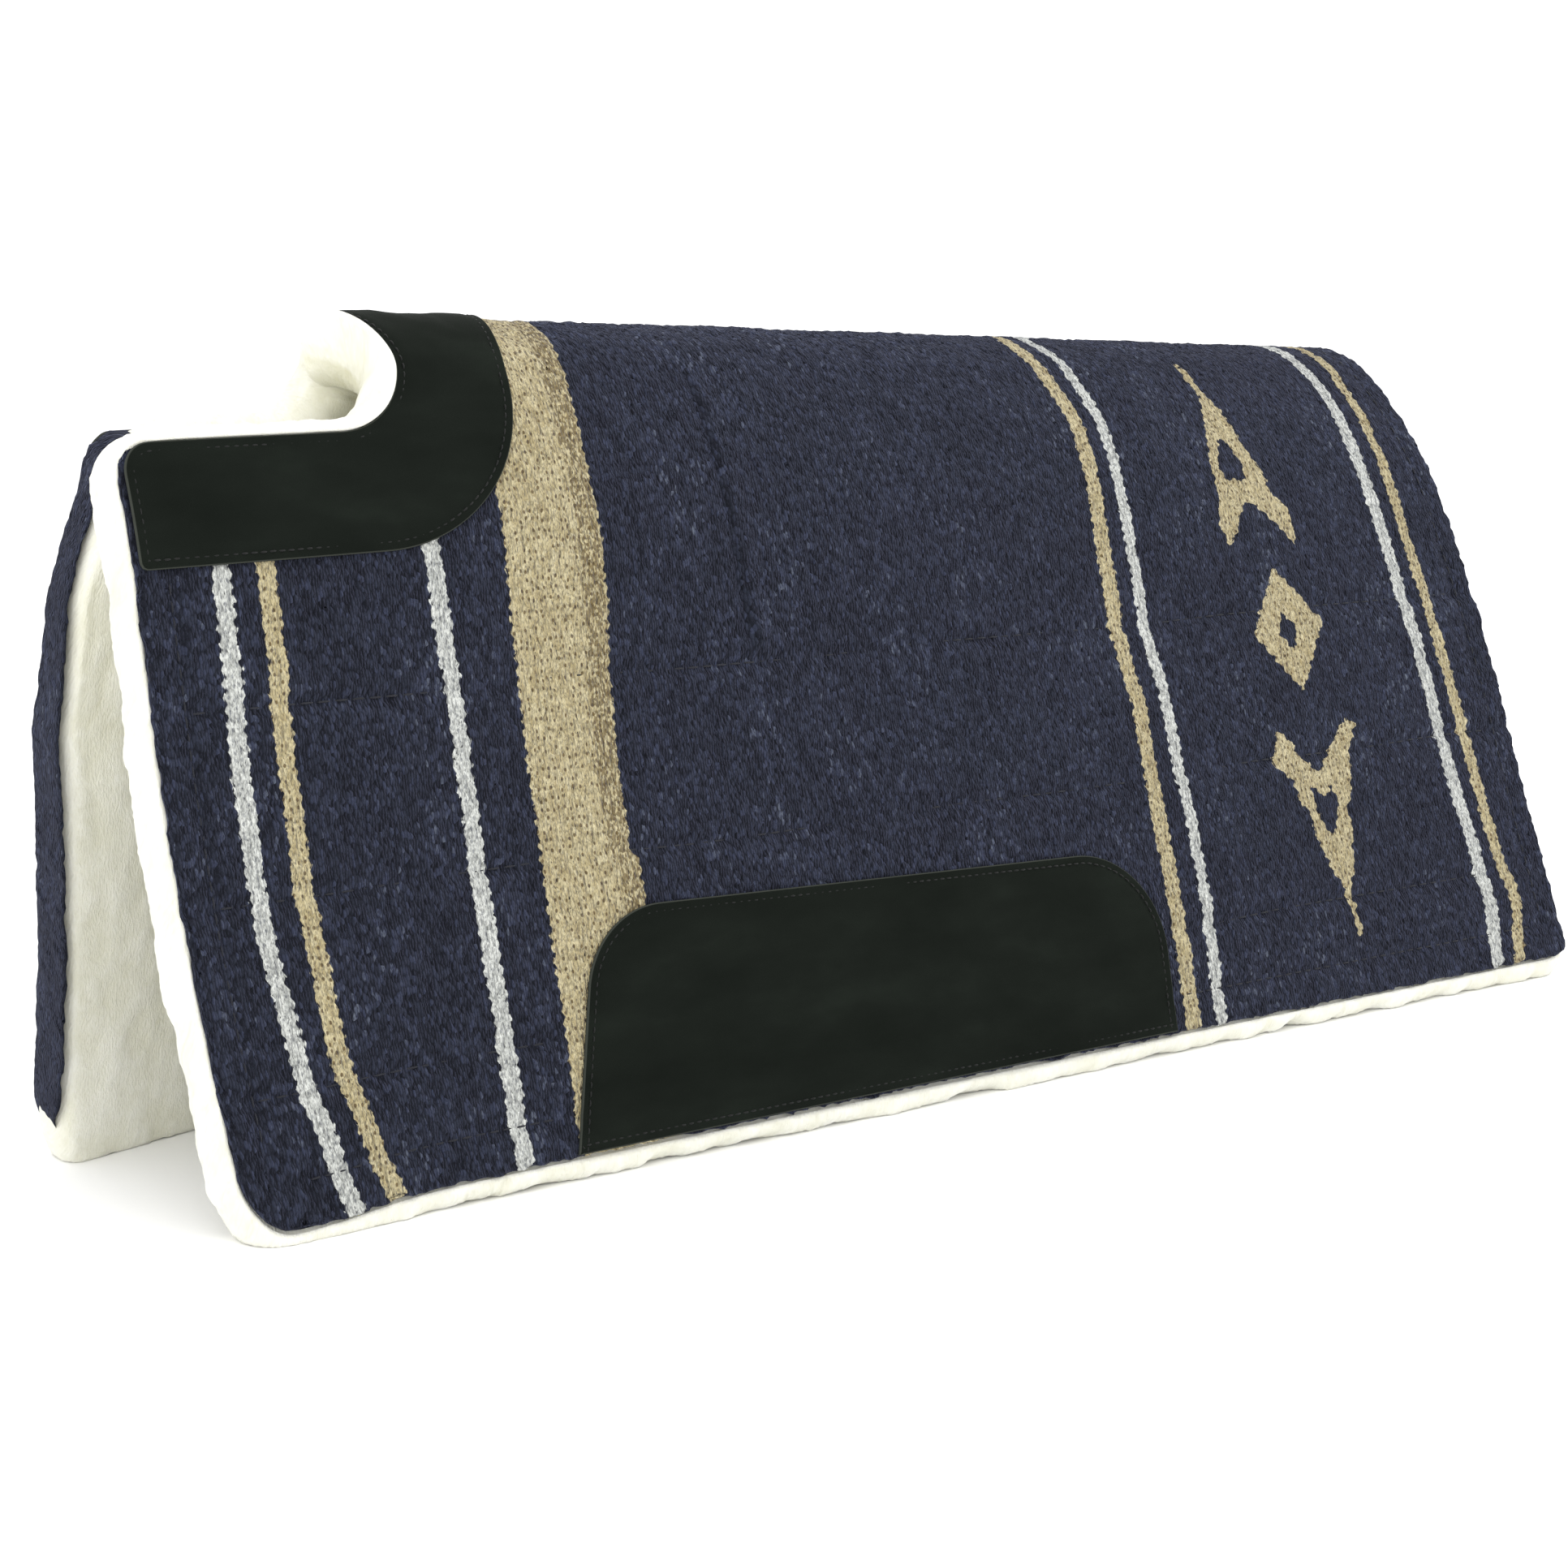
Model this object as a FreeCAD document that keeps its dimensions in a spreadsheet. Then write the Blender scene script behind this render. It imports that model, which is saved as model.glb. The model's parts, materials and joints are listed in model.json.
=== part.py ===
"""Western cut-back saddle pad, standing on its own hems like a tent.

X runs along the horse's spine with the wither notch at -X, +Z is up and the near flap is at -Y.
The pad is a sandwich: woven blanket outside, filler in the middle, fleece lining inside. The
arch along the ridge (the spine) is one moving body and each flap is another, hinged along the
line where the arch ends.
"""
import FreeCAD, Part
import Sketcher
import math
import os

Vector = FreeCAD.Vector

os.makedirs("parts", exist_ok=True)
doc = FreeCAD.newDocument("SaddlePad")

# ---------------------------------------------------------------- driving dimensions (mm, degrees)
DIMENSIONS = [
    ("pad_length", 813.0, "front edge to rear edge, 32 inches"),
    ("ridge_run", 50.0, "along the outer face, ridge to hinge line"),
    ("shoulder_run", 95.0, "hinge line to the foot of the shoulder curve"),
    ("flank_run", 155.0, "shoulder to the start of the straight hem run"),
    ("hem_run", 115.0, "straight run down to the blanket's hem"),
    ("front_hinge_turn", 66.0, "slope below level at the hinge line, front edge"),
    ("front_shoulder_turn", 89.0, "slope at the foot of the shoulder, front edge"),
    ("front_hem_turn", 79.0, "slope of the hem run, front edge"),
    ("rear_hinge_turn", 41.0, "slope below level at the hinge line, rear edge"),
    ("rear_shoulder_turn", 66.0, "slope at the foot of the shoulder, rear edge"),
    ("rear_hem_turn", 71.0, "slope of the hem run, rear edge"),
    ("hem_lift", 13.0, "height of the blanket's hem above the fleece's foot"),
    ("blanket_thick", 4.0, "woven blanket"),
    ("filler_thick", 12.0, "needled felt filler"),
    ("fleece_thick", 16.0, "fleece lining with its pile"),
    ("leather_thick", 2.0, "suede leather"),
    ("thread_thick", 0.8, "height of a stitched thread above its ground"),
    ("thread_width", 1.2, "width of a line of thread"),
    ("layer_gap", 0.2, "clearance between neighbouring layers"),
    ("hinge_lift", 3.4, "height of the hinge line above the blanket's face"),
    ("hinge_gap", 0.25, "half the clearance at the hinge line itself"),
    ("hinge_wedge", 6.5, "half the angle left open at the hinge for closing"),
    ("notch_depth", 136.0, "wither notch, from the front edge back"),
    ("notch_drop", 56.0, "lower edge of the notch, below the front of the ridge"),
    ("notch_round", 34.0, "radius inside the notch"),
    ("notch_mouth", 16.0, "radius where the notch meets the front edge"),
    ("corner_front", 16.0, "radius of the front bottom corners"),
    ("corner_rear", 6.0, "radius of the rear bottom corners"),
    ("filler_inset", 5.0, "filler stops short of the pad's edges"),
    ("wither_rear", 193.0, "rear edge of the wither leather, from the front edge"),
    ("wither_front", 4.5, "front edge of the wither leather, from the front edge"),
    ("wither_base", 289.0, "height of the wither leather's lower edge"),
    ("wither_round", 60.0, "rear lower radius of the wither leather"),
    ("wither_inset", 1.5, "wither leather stops short of the notch"),
    ("wear_front_foot", 163.0, "wear leather's front foot, from the front edge"),
    ("wear_front_top", 185.0, "its front top corner"),
    ("wear_rear_top", 527.0, "its rear top corner"),
    ("wear_rear_foot", 519.0, "its rear foot"),
    ("wear_top_front", 120.0, "height of its top edge at the front"),
    ("wear_top_rear", 107.0, "height of its top edge at the rear"),
    ("wear_round_front", 38.0, "front top radius"),
    ("wear_round_rear", 50.0, "rear top radius"),
    ("stitch_inset", 4.0, "leather stitching, from the leather's edge"),
    ("quilt_first", 197.0, "first quilting row, along the face from the ridge"),
    ("quilt_second", 280.0, "second quilting row"),
    ("quilt_third", 361.0, "third quilting row"),
    ("seam_inset", 14.0, "perimeter seam, from the front and rear edges"),
    ("seam_rise", 19.0, "perimeter seam, above the blanket's hem"),
]

spec = doc.addObject("Spreadsheet::Sheet", "Spec")
for row, (alias, value, note) in enumerate(DIMENSIONS, start=1):
    spec.set(f"A{row}", alias)
    spec.set(f"B{row}", str(value))
    spec.setAlias(f"B{row}", alias)
    spec.set(f"C{row}", note)
doc.recompute()


def size(alias):
    """A driving dimension, read from the sheet."""
    return float(getattr(spec, alias))


HALF_LENGTH = size("pad_length") / 2
WITHER_FRONT_ROUND = 3.0    # radius of the wither leather's front lower corner
OUTSIDE = 60.0        # how far a cutting outline runs past the pad's edges
FOOT_DIP = 0.5        # the fleece's corner arcs aim just below its flat foot, so they meet it at an angle
FOOT_SPARE = 4.0      # the fleece is lofted this far below the floor and then cut off level
LEATHER_CLEAR = 3.0   # lines of thread in the blanket stop this far from a leather
SEAM_CLEAR = 3.0      # quilting rows stop this far from the perimeter seam

# Depths below the blanket's outer face: inward is positive.
BLANKET = (0.0, size("blanket_thick"))
FILLER = (BLANKET[1] + size("layer_gap"), BLANKET[1] + size("layer_gap") + size("filler_thick"))
FLEECE = (FILLER[1] + size("layer_gap"), FILLER[1] + size("layer_gap") + size("fleece_thick"))
LEATHER = (-size("layer_gap") - size("leather_thick"), -size("layer_gap"))
QUILTING = (-size("layer_gap") - size("thread_thick"), -size("layer_gap"))
STITCHING = (LEATHER[0] - size("layer_gap") - size("thread_thick"), LEATHER[0] - size("layer_gap"))


# ---------------------------------------------------------------- cross-section of the draped pad
def arc_about(centre, start, end):
    """Arc about a centre, anticlockwise from start to end as a sketch wants it."""
    angles = [math.atan2(point.y - centre.y, point.x - centre.x) for point in (start, end)]
    if angles[1] < angles[0]:
        angles[1] += 2 * math.pi
    circle = Part.Circle(centre, Vector(0, 0, 1), centre.distanceToPoint(start))
    return Part.ArcOfCircle(circle, angles[0], angles[1])


def arc_through(start, middle, end):
    """Arc through three points."""
    if (middle - start).cross(end - middle).z < 0:
        start, end = end, start
    return arc_about(Part.Circle(start, middle, end).Center, start, end)


def tangent(turn):
    """Direction (y, z) down the far side where the face slopes `turn` radians below level."""
    return Vector(math.cos(turn), -math.sin(turn), 0)


def inward(turn):
    """Direction (y, z) from the outer face towards the hollow under the pad."""
    return Vector(-math.sin(turn), -math.cos(turn), 0)


class Bend:
    """One stretch of the outer face with an even curvature, at the far side of a section."""

    def __init__(self, start, turn_a, turn_b, run):
        self.turn_a = turn_a
        self.turn_b = turn_b
        self.radius = run / (turn_b - turn_a)
        self.centre = start + inward(turn_a) * self.radius
        self.end = self.at(turn_b, 0.0)

    def at(self, turn, depth):
        return self.centre - inward(turn) * (self.radius - depth)

    def arc(self, turn_a, turn_b, depth):
        start, end = self.at(turn_a, depth), self.at(turn_b, depth)
        if self.radius > 0:
            start, end = end, start
        return arc_about(self.centre, start, end)


class Section:
    """The draped section at one end of the pad, for the far side: ridge, shoulder, flank, hem."""

    def __init__(self, end):
        self.hinge_turn = math.radians(size(f"{end}_hinge_turn"))
        self.shoulder_turn = math.radians(size(f"{end}_shoulder_turn"))
        self.hem_turn = math.radians(size(f"{end}_hem_turn"))
        self.build(Vector(0, 0, 0))
        self.build(Vector(0, size("hem_lift") - self.hem.y, 0))

    def build(self, ridge):
        self.ridge = Bend(ridge, 0.0, self.hinge_turn, size("ridge_run"))
        self.shoulder = Bend(self.ridge.end, self.hinge_turn, self.shoulder_turn, size("shoulder_run"))
        self.flank = Bend(self.shoulder.end, self.shoulder_turn, self.hem_turn, size("flank_run"))
        self.hem = self.flank.end + tangent(self.hem_turn) * size("hem_run")
        self.top = ridge.y

    def hinge_space(self, depth):
        """Clearance on one side of the hinge line: a wedge that widens inward."""
        below = depth + size("hinge_lift")
        return size("hinge_gap") + below * math.tan(math.radians(size("hinge_wedge")))

    def hem_at(self, depth, foot):
        """End of a layer at the hem: square to the face, or level at the height `foot`."""
        point = self.hem + inward(self.hem_turn) * depth
        if foot is None:
            return point
        along = tangent(self.hem_turn)
        return point + along * ((foot - point.y) / along.y)

    def flap_face(self, depth, foot):
        """Edges of one face of a flap layer, from the hinge down."""
        upper = self.shoulder.arc(self.start_turn(depth), self.shoulder_turn, depth)
        middle = self.flank.arc(self.shoulder_turn, self.hem_turn, depth)
        knee = self.flank.at(self.hem_turn, depth)
        return [upper, middle, Part.LineSegment(knee, self.hem_at(depth, foot))]

    def flap_outline(self, depths, foot=None):
        outer = self.flap_face(depths[0], foot)
        inner = self.flap_face(depths[1], foot)
        starts = [self.shoulder.at(self.start_turn(depth), depth) for depth in depths]
        bottom = Part.LineSegment(self.hem_at(depths[0], foot), self.hem_at(depths[1], foot))
        return outer + [bottom] + inner[::-1] + [Part.LineSegment(starts[1], starts[0])]

    def start_turn(self, depth):
        """Slope of the face where a flap layer starts, clear of the hinge line."""
        return self.hinge_turn + self.hinge_space(depth) / (self.shoulder.radius - depth)

    def spine_outline(self, depths):
        """Closed outline of a layer of the arch, from one hinge line over the ridge to the other."""
        ends = []
        arcs = []
        for depth in depths:
            turn = self.hinge_turn - self.hinge_space(depth) / (self.ridge.radius - depth)
            arcs.append(self.ridge.arc(-turn, turn, depth))
            ends.append((self.ridge.at(-turn, depth), self.ridge.at(turn, depth)))
        right = Part.LineSegment(ends[0][1], ends[1][1])
        left = Part.LineSegment(ends[1][0], ends[0][0])
        return [arcs[0], right, arcs[1], left]

    def row_outline(self, run, turn):
        """Small rectangle of thread lying at a slope, `run` along the outer face from the ridge."""
        middle = self.on_face(run, sum(QUILTING) / 2)
        half_width = tangent(turn) * (size("thread_width") / 2)
        half_height = inward(turn) * (size("thread_thick") / 2)
        corners = [middle - half_width - half_height, middle + half_width - half_height,
                   middle + half_width + half_height, middle - half_width + half_height]
        return [Part.LineSegment(corners[i], corners[(i + 1) % 4]) for i in range(4)]

    def turn_at(self, run):
        """Slope of the outer face in the flank, `run` along it from the ridge."""
        along = run - size("ridge_run") - size("shoulder_run")
        share = min(along / size("flank_run"), 1.0)
        return self.shoulder_turn + share * (self.hem_turn - self.shoulder_turn)

    def on_face(self, run, depth):
        """Point `run` along the outer face from the ridge and `depth` below it."""
        for bend, length in ((self.ridge, "ridge_run"), (self.shoulder, "shoulder_run"),
                             (self.flank, "flank_run")):
            if run <= size(length):
                return bend.at(bend.turn_a + run / bend.radius, depth)
            run -= size(length)
        return self.flank.at(self.hem_turn, depth) + tangent(self.hem_turn) * run


FRONT = Section("front")
REAR = Section("rear")
WEAR_SPAN = (-HALF_LENGTH + size("wear_front_foot") - LEATHER_CLEAR,
             -HALF_LENGTH + size("wear_rear_top") + LEATHER_CLEAR)


# ---------------------------------------------------------------- outlines in the side view (x, z)
def rounded(corners):
    """Closed outline through (x, z, radius) corners, each with a tangent arc of its radius."""
    count = len(corners)
    entries = []
    for i, (x, z, radius) in enumerate(corners):
        here = Vector(x, z, 0)
        before = (Vector(*corners[i - 1][:2], 0) - here).normalize()
        after = (Vector(*corners[(i + 1) % count][:2], 0) - here).normalize()
        half = before.getAngle(after) / 2
        setback = radius / math.tan(half)
        middle = here + (before + after).normalize() * (radius / math.sin(half) - radius)
        entries.append((here + before * setback, middle, here + after * setback))
    edges = []
    for i, (start, middle, end) in enumerate(entries):
        if corners[i][2] > 0:
            edges.append(arc_through(start, middle, end))
        edges.append(Part.LineSegment(end, entries[(i + 1) % count][0]))
    return edges


def chain(points):
    """Straight edges from each point to the next."""
    return [Part.LineSegment(a, b) for a, b in zip(points, points[1:])]


def notch_outline(inset):
    """Area taken away by the wither notch, grown by `inset` into the pad."""
    back = -HALF_LENGTH + size("notch_depth") + inset
    edge = FRONT.top - size("notch_drop") - inset
    front = -HALF_LENGTH - OUTSIDE
    top = FRONT.top + OUTSIDE
    return rounded([
        (front, edge, 0),
        (back, edge, size("notch_round") + inset),
        (back, top, 0),
        (front, top, 0)])


def corner_outline(x, z, radius):
    """Area outside the rounded corner of the pad at (x, z): x has the sign of its end."""
    side = math.copysign(1.0, x)
    start = Vector(x, z + radius, 0)
    end = Vector(x - side * radius, z, 0)
    diagonal = radius * math.sqrt(0.5)
    middle = Vector(x - side * (radius - diagonal), z + radius - diagonal, 0)
    away = Vector(x + side * OUTSIDE, z + radius, 0)
    under = Vector(x + side * OUTSIDE, z - OUTSIDE, 0)
    below = Vector(x - side * radius, z - OUTSIDE, 0)
    return [arc_through(start, middle, end)] + chain([end, below, under, away, start])


def mouth_outline(inset):
    """Area outside the rounded corner between the notch and the front edge."""
    radius = size("notch_mouth")
    edge = FRONT.top - size("notch_drop") - inset
    x = -HALF_LENGTH + inset
    start = Vector(x, edge - radius, 0)
    end = Vector(x + radius, edge, 0)
    diagonal = radius * math.sqrt(0.5)
    middle = Vector(x + radius - diagonal, edge - radius + diagonal, 0)
    above = Vector(x + radius, edge + radius, 0)
    far = Vector(x - OUTSIDE, edge + radius, 0)
    side = Vector(x - OUTSIDE, edge - radius, 0)
    return [arc_through(start, middle, end)] + chain([end, above, far, side, start])


def frame_outline():
    """Rectangle far outside the pad, around whatever a cut keeps."""
    x = HALF_LENGTH + OUTSIDE
    top = FRONT.top + 2 * OUTSIDE
    return rounded([(-x, -OUTSIDE, 0), (x, -OUTSIDE, 0), (x, top, 0), (-x, top, 0)])


def wither_outline(inset):
    """Side view of the wither leather, reaching above the ridge."""
    front = -HALF_LENGTH + size("wither_front") + inset
    rear = -HALF_LENGTH + size("wither_rear") - inset
    base = size("wither_base") + inset
    top = FRONT.top + OUTSIDE
    return rounded([
        (front, base, WITHER_FRONT_ROUND),
        (rear, base, size("wither_round") - inset),
        (rear, top, 0),
        (front, top, 0)])


def wear_outline(inset):
    """Side view of a wear leather: its foot is the blanket's hem."""
    def place(alias, sign):
        return -HALF_LENGTH + size(alias) + sign * inset
    foot = size("hem_lift") + inset if inset else 0.0
    return rounded([
        (place("wear_front_foot", 1), foot, 0),
        (place("wear_front_top", 1), size("wear_top_front") - inset, size("wear_round_front") - inset),
        (place("wear_rear_top", -1), size("wear_top_rear") - inset, size("wear_round_rear") - inset),
        (place("wear_rear_foot", -1), foot, 0)])


def seam_outline(inset):
    """Side view of the perimeter seam, open above the ridge."""
    x = HALF_LENGTH - size("seam_inset") - inset
    base = size("hem_lift") + size("seam_rise") + inset
    top = FRONT.top + OUTSIDE - inset
    return rounded([
        (-x, base, size("corner_front")),
        (x, base, size("corner_rear")),
        (x, top, 0),
        (-x, top, 0)])


def box_outline(x_low, x_high, z_low, z_high):
    return rounded([(x_low, z_low, 0), (x_high, z_low, 0), (x_high, z_high, 0), (x_low, z_high, 0)])


# ---------------------------------------------------------------- bodies, sketches and features
def plane_of(body, role):
    return next(item for item in body.Origin.OriginFeatures if item.Role == role)


def mirrored(edges):
    """The same outline on the near side, where y is negative."""
    flip = FreeCAD.Matrix()
    flip.A11 = -1
    result = []
    for edge in edges:
        if isinstance(edge, Part.LineSegment):
            result.append(Part.LineSegment(flip * edge.StartPoint, flip * edge.EndPoint))
        else:
            result.append(arc_about(flip * edge.Center, flip * edge.EndPoint, flip * edge.StartPoint))
    return result


def add_outline(sketch, edges):
    """Adds one closed loop and fixes the ends of its edges; returns the numbers of its edges."""
    numbers = [sketch.addGeometry(edge) for edge in edges]
    constraints = []
    for number in numbers:
        geometry = sketch.Geometry[number]
        for end, point in ((1, geometry.StartPoint), (2, geometry.EndPoint)):
            constraints.append(Sketcher.Constraint("DistanceX", -1, 1, number, end, point.x))
            constraints.append(Sketcher.Constraint("DistanceY", -1, 1, number, end, point.y))
    sketch.addConstraint(constraints)
    return numbers


def section_sketch(body, end, edges, side):
    """Closed section at the front or rear edge of the pad, on the body's own YZ plane."""
    sketch = body.newObject("Sketcher::SketchObject", f"{body.Name}_{end}")
    sketch.AttachmentSupport = (plane_of(body, "YZ_Plane"), "")
    sketch.MapMode = "FlatFace"
    sign = "-" if end == "front" else ""
    sketch.setExpression("AttachmentOffset.Base.z", f"{sign}Spec.pad_length / 2")
    add_outline(sketch, mirrored(edges) if side == "near" else edges)
    return sketch


def bind_radius(sketch, number, expression):
    """Ties the radius of an arc to the sheet."""
    name = f"radius_{number}"
    radius = sketch.Geometry[number].Radius
    index = sketch.addConstraint(Sketcher.Constraint("Radius", number, radius))
    sketch.renameConstraint(index, name)
    sketch.setExpression(f"Constraints.{name}", expression)


def bend_radius(end, run, turn_a, turn_b, depth):
    """Expression for the radius of a bend at a depth: run over turn, less the depth."""
    before = f"Spec.{end}_{turn_a}" if turn_a else "0"
    return f"abs(Spec.{run} * 180 / pi / (Spec.{end}_{turn_b} - {before}) - {depth})"


def loft(body, sketches):
    feature = body.newObject("PartDesign::AdditiveLoft", f"{body.Name}_loft")
    feature.Profile = sketches[0]
    feature.Sections = sketches[1:]
    feature.Ruled = True
    return feature


def cut(body, title, loops):
    """Cuts the area between the loops right through the body, along Y."""
    sketch = body.newObject("Sketcher::SketchObject", f"{body.Name}_{title}")
    sketch.AttachmentSupport = (plane_of(body, "XZ_Plane"), "")
    sketch.MapMode = "FlatFace"
    for edges in loops:
        add_outline(sketch, edges)
    pocket = body.newObject("PartDesign::Pocket", f"{body.Name}_{title}_cut")
    pocket.Profile = sketch
    pocket.Type = "Length"
    pocket.setExpression("Length", "2 * Spec.pad_length")
    pocket.SideType = "Symmetric"
    return pocket


def new_body(label):
    body = doc.addObject("PartDesign::Body", label)
    body.Label = label
    body.AllowCompound = True
    return body


def flap_layer(label, side, depths, foot=None):
    body = new_body(label)
    sketches = []
    for end, section in (("front", FRONT), ("rear", REAR)):
        sketch = section_sketch(body, end, section.flap_outline(depths, foot), side)
        for number, depth in ((0, depths[0]), (6, depths[1])):
            expression = bend_radius(end, "shoulder_run", "hinge_turn", "shoulder_turn", depth)
            bind_radius(sketch, number, expression)
        for number, depth in ((1, depths[0]), (5, depths[1])):
            expression = bend_radius(end, "flank_run", "shoulder_turn", "hem_turn", depth)
            bind_radius(sketch, number, expression)
        sketches.append(sketch)
    loft(body, sketches)
    return body


def spine_layer(label, depths):
    body = new_body(label)
    sketches = []
    for end, section in (("front", FRONT), ("rear", REAR)):
        sketch = section_sketch(body, end, section.spine_outline(depths), "far")
        for number, depth in ((0, depths[0]), (2, depths[1])):
            bind_radius(sketch, number, bend_radius(end, "ridge_run", None, "hinge_turn", depth))
        sketches.append(sketch)
    loft(body, sketches)
    return body


def quilt_row(label, side, run):
    """Row of quilting, level in its section all along, so that its faces are flat."""
    body = new_body(label)
    turn = (FRONT.turn_at(run) + REAR.turn_at(run)) / 2
    sketches = [section_sketch(body, end, section.row_outline(run, turn), side)
                for end, section in (("front", FRONT), ("rear", REAR))]
    loft(body, sketches)
    return body


# ---------------------------------------------------------------- the pad's pieces
def edge_loops(inset, corner_height):
    """Notch and rounded corners of a layer that stops `inset` short of the pad's edges."""
    return [mouth_outline(inset),
            corner_outline(-HALF_LENGTH + inset, corner_height, size("corner_front")),
            corner_outline(HALF_LENGTH - inset, corner_height, size("corner_rear"))]


def end_strips(inset):
    """Strips trimmed off the front and rear edges, for a layer that stops short of them."""
    top = FRONT.top + OUTSIDE
    x = HALF_LENGTH - inset
    far = HALF_LENGTH + OUTSIDE
    return [box_outline(-far, -x, -OUTSIDE, top), box_outline(x, far, -OUTSIDE, top)]


def trim_layer(body, inset, corner_height, is_flap):
    cut(body, "notch", [notch_outline(inset)])
    if inset:
        cut(body, "ends", end_strips(inset))
    if is_flap:
        cut(body, "corners", edge_loops(inset, corner_height))


def seam_cuts(body):
    """Keeps the perimeter line of thread, clear of the leathers and the notch."""
    half = size("thread_width") / 2
    cut(body, "line", [frame_outline(), seam_outline(-half), seam_outline(half)])
    wither_end = -HALF_LENGTH + size("wither_rear")
    wither_foot = size("wither_base") - LEATHER_CLEAR
    middle = (size("wither_base") + size("wear_top_front")) / 2
    cut(body, "leathers", [box_outline(-HALF_LENGTH - OUTSIDE, wither_end, wither_foot, FRONT.top + OUTSIDE),
                           box_outline(*WEAR_SPAN, 0, middle)])


def make_flap(side):
    hem = size("hem_lift")
    trim_layer(flap_layer(f"{side}_blanket", side, BLANKET), 0.0, hem, True)
    trim_layer(flap_layer(f"{side}_filler", side, FILLER), size("filler_inset"), hem, True)
    fleece = flap_layer(f"{side}_fleece", side, FLEECE, foot=-FOOT_SPARE)
    far = HALF_LENGTH + OUTSIDE
    cut(fleece, "foot", [box_outline(-far, far, -OUTSIDE, 0)])
    trim_layer(fleece, 0.0, -FOOT_DIP, True)

    leather = flap_layer(f"{side}_wither_leather", side, LEATHER)
    cut(leather, "shape", [frame_outline(), wither_outline(0.0)])
    cut(leather, "notch", [notch_outline(size("wither_inset"))])

    inset = size("stitch_inset")
    thread = size("thread_width")
    stitching = flap_layer(f"{side}_wither_stitching", side, STITCHING)
    cut(stitching, "line", [frame_outline(), wither_outline(inset), wither_outline(inset + thread)])
    cut(stitching, "notch", [notch_outline(inset)])

    leather = flap_layer(f"{side}_wear_leather", side, LEATHER)
    cut(leather, "shape", [frame_outline(), wear_outline(0.0)])
    stitching = flap_layer(f"{side}_wear_stitching", side, STITCHING)
    cut(stitching, "line", [frame_outline(), wear_outline(inset), wear_outline(inset + thread)])

    for order in ("first", "second", "third"):
        row = quilt_row(f"{side}_quilt_row_{order}", side, size(f"quilt_{order}"))
        cut(row, "ends", end_strips(size("seam_inset") + SEAM_CLEAR))
        if order == "third":
            cut(row, "leather", [box_outline(*WEAR_SPAN, 0, FRONT.top)])
    seam_cuts(flap_layer(f"{side}_edge_seam", side, QUILTING))


def make_spine():
    trim_layer(spine_layer("spine_blanket", BLANKET), 0.0, 0.0, False)
    trim_layer(spine_layer("spine_filler", FILLER), size("filler_inset"), 0.0, False)
    trim_layer(spine_layer("spine_fleece", FLEECE), 0.0, 0.0, False)
    leather = spine_layer("spine_wither_leather", LEATHER)
    cut(leather, "shape", [frame_outline(), wither_outline(0.0)])
    cut(leather, "notch", [notch_outline(size("wither_inset"))])
    inset = size("stitch_inset")
    inner = inset + size("thread_width")
    stitching = spine_layer("spine_wither_stitching", STITCHING)
    cut(stitching, "line", [frame_outline(), wither_outline(inset), wither_outline(inner)])
    cut(stitching, "notch", [notch_outline(inset)])
    seam_cuts(spine_layer("spine_edge_seam", QUILTING))


make_spine()
for side in ("near", "far"):
    make_flap(side)
doc.recompute()

# ---------------------------------------------------------------- checks and export
failed = [item.Name for item in doc.Objects if {"Invalid", "Error"} & set(item.State)]
if failed:
    raise RuntimeError(f"failed objects: {failed}")
for body in doc.findObjects("PartDesign::Body"):
    shape = body.Shape
    if shape.isNull() or not shape.isValid() or not shape.Solids:
        raise RuntimeError(f"{body.Label} has no valid solid")
    shape.exportStep(os.path.join("parts", f"{body.Label}.step"))
    box = shape.optimalBoundingBox(True, False)
    print(f"{body.Label:24s} {len(shape.Solids)} solid(s) {shape.Volume / 1000:9.2f} cm3")
    spans = ((box.XMin, box.XMax), (box.YMin, box.YMax), (box.ZMin, box.ZMax))
    print("    " + ", ".join(f"{low:.1f} to {high:.1f}" for low, high in spans))
for name, section in (("front", FRONT), ("rear", REAR)):
    hinge = section.ridge.at(section.hinge_turn, -size("hinge_lift"))
    print(f"{name}: ridge {section.top:.2f}, hem y {section.hem.x:.1f}")
    print(f"    hinge y {hinge.x:.3f}, z {hinge.y:.3f}")
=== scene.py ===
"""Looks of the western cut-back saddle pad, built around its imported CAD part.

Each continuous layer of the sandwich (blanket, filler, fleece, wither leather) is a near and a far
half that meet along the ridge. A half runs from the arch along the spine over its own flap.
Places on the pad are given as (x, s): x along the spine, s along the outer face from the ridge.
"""

import json
import math

import bmesh
import bpy
import numpy as np
from mathutils import Matrix, Vector, geometry
from mathutils.kdtree import KDTree


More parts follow.
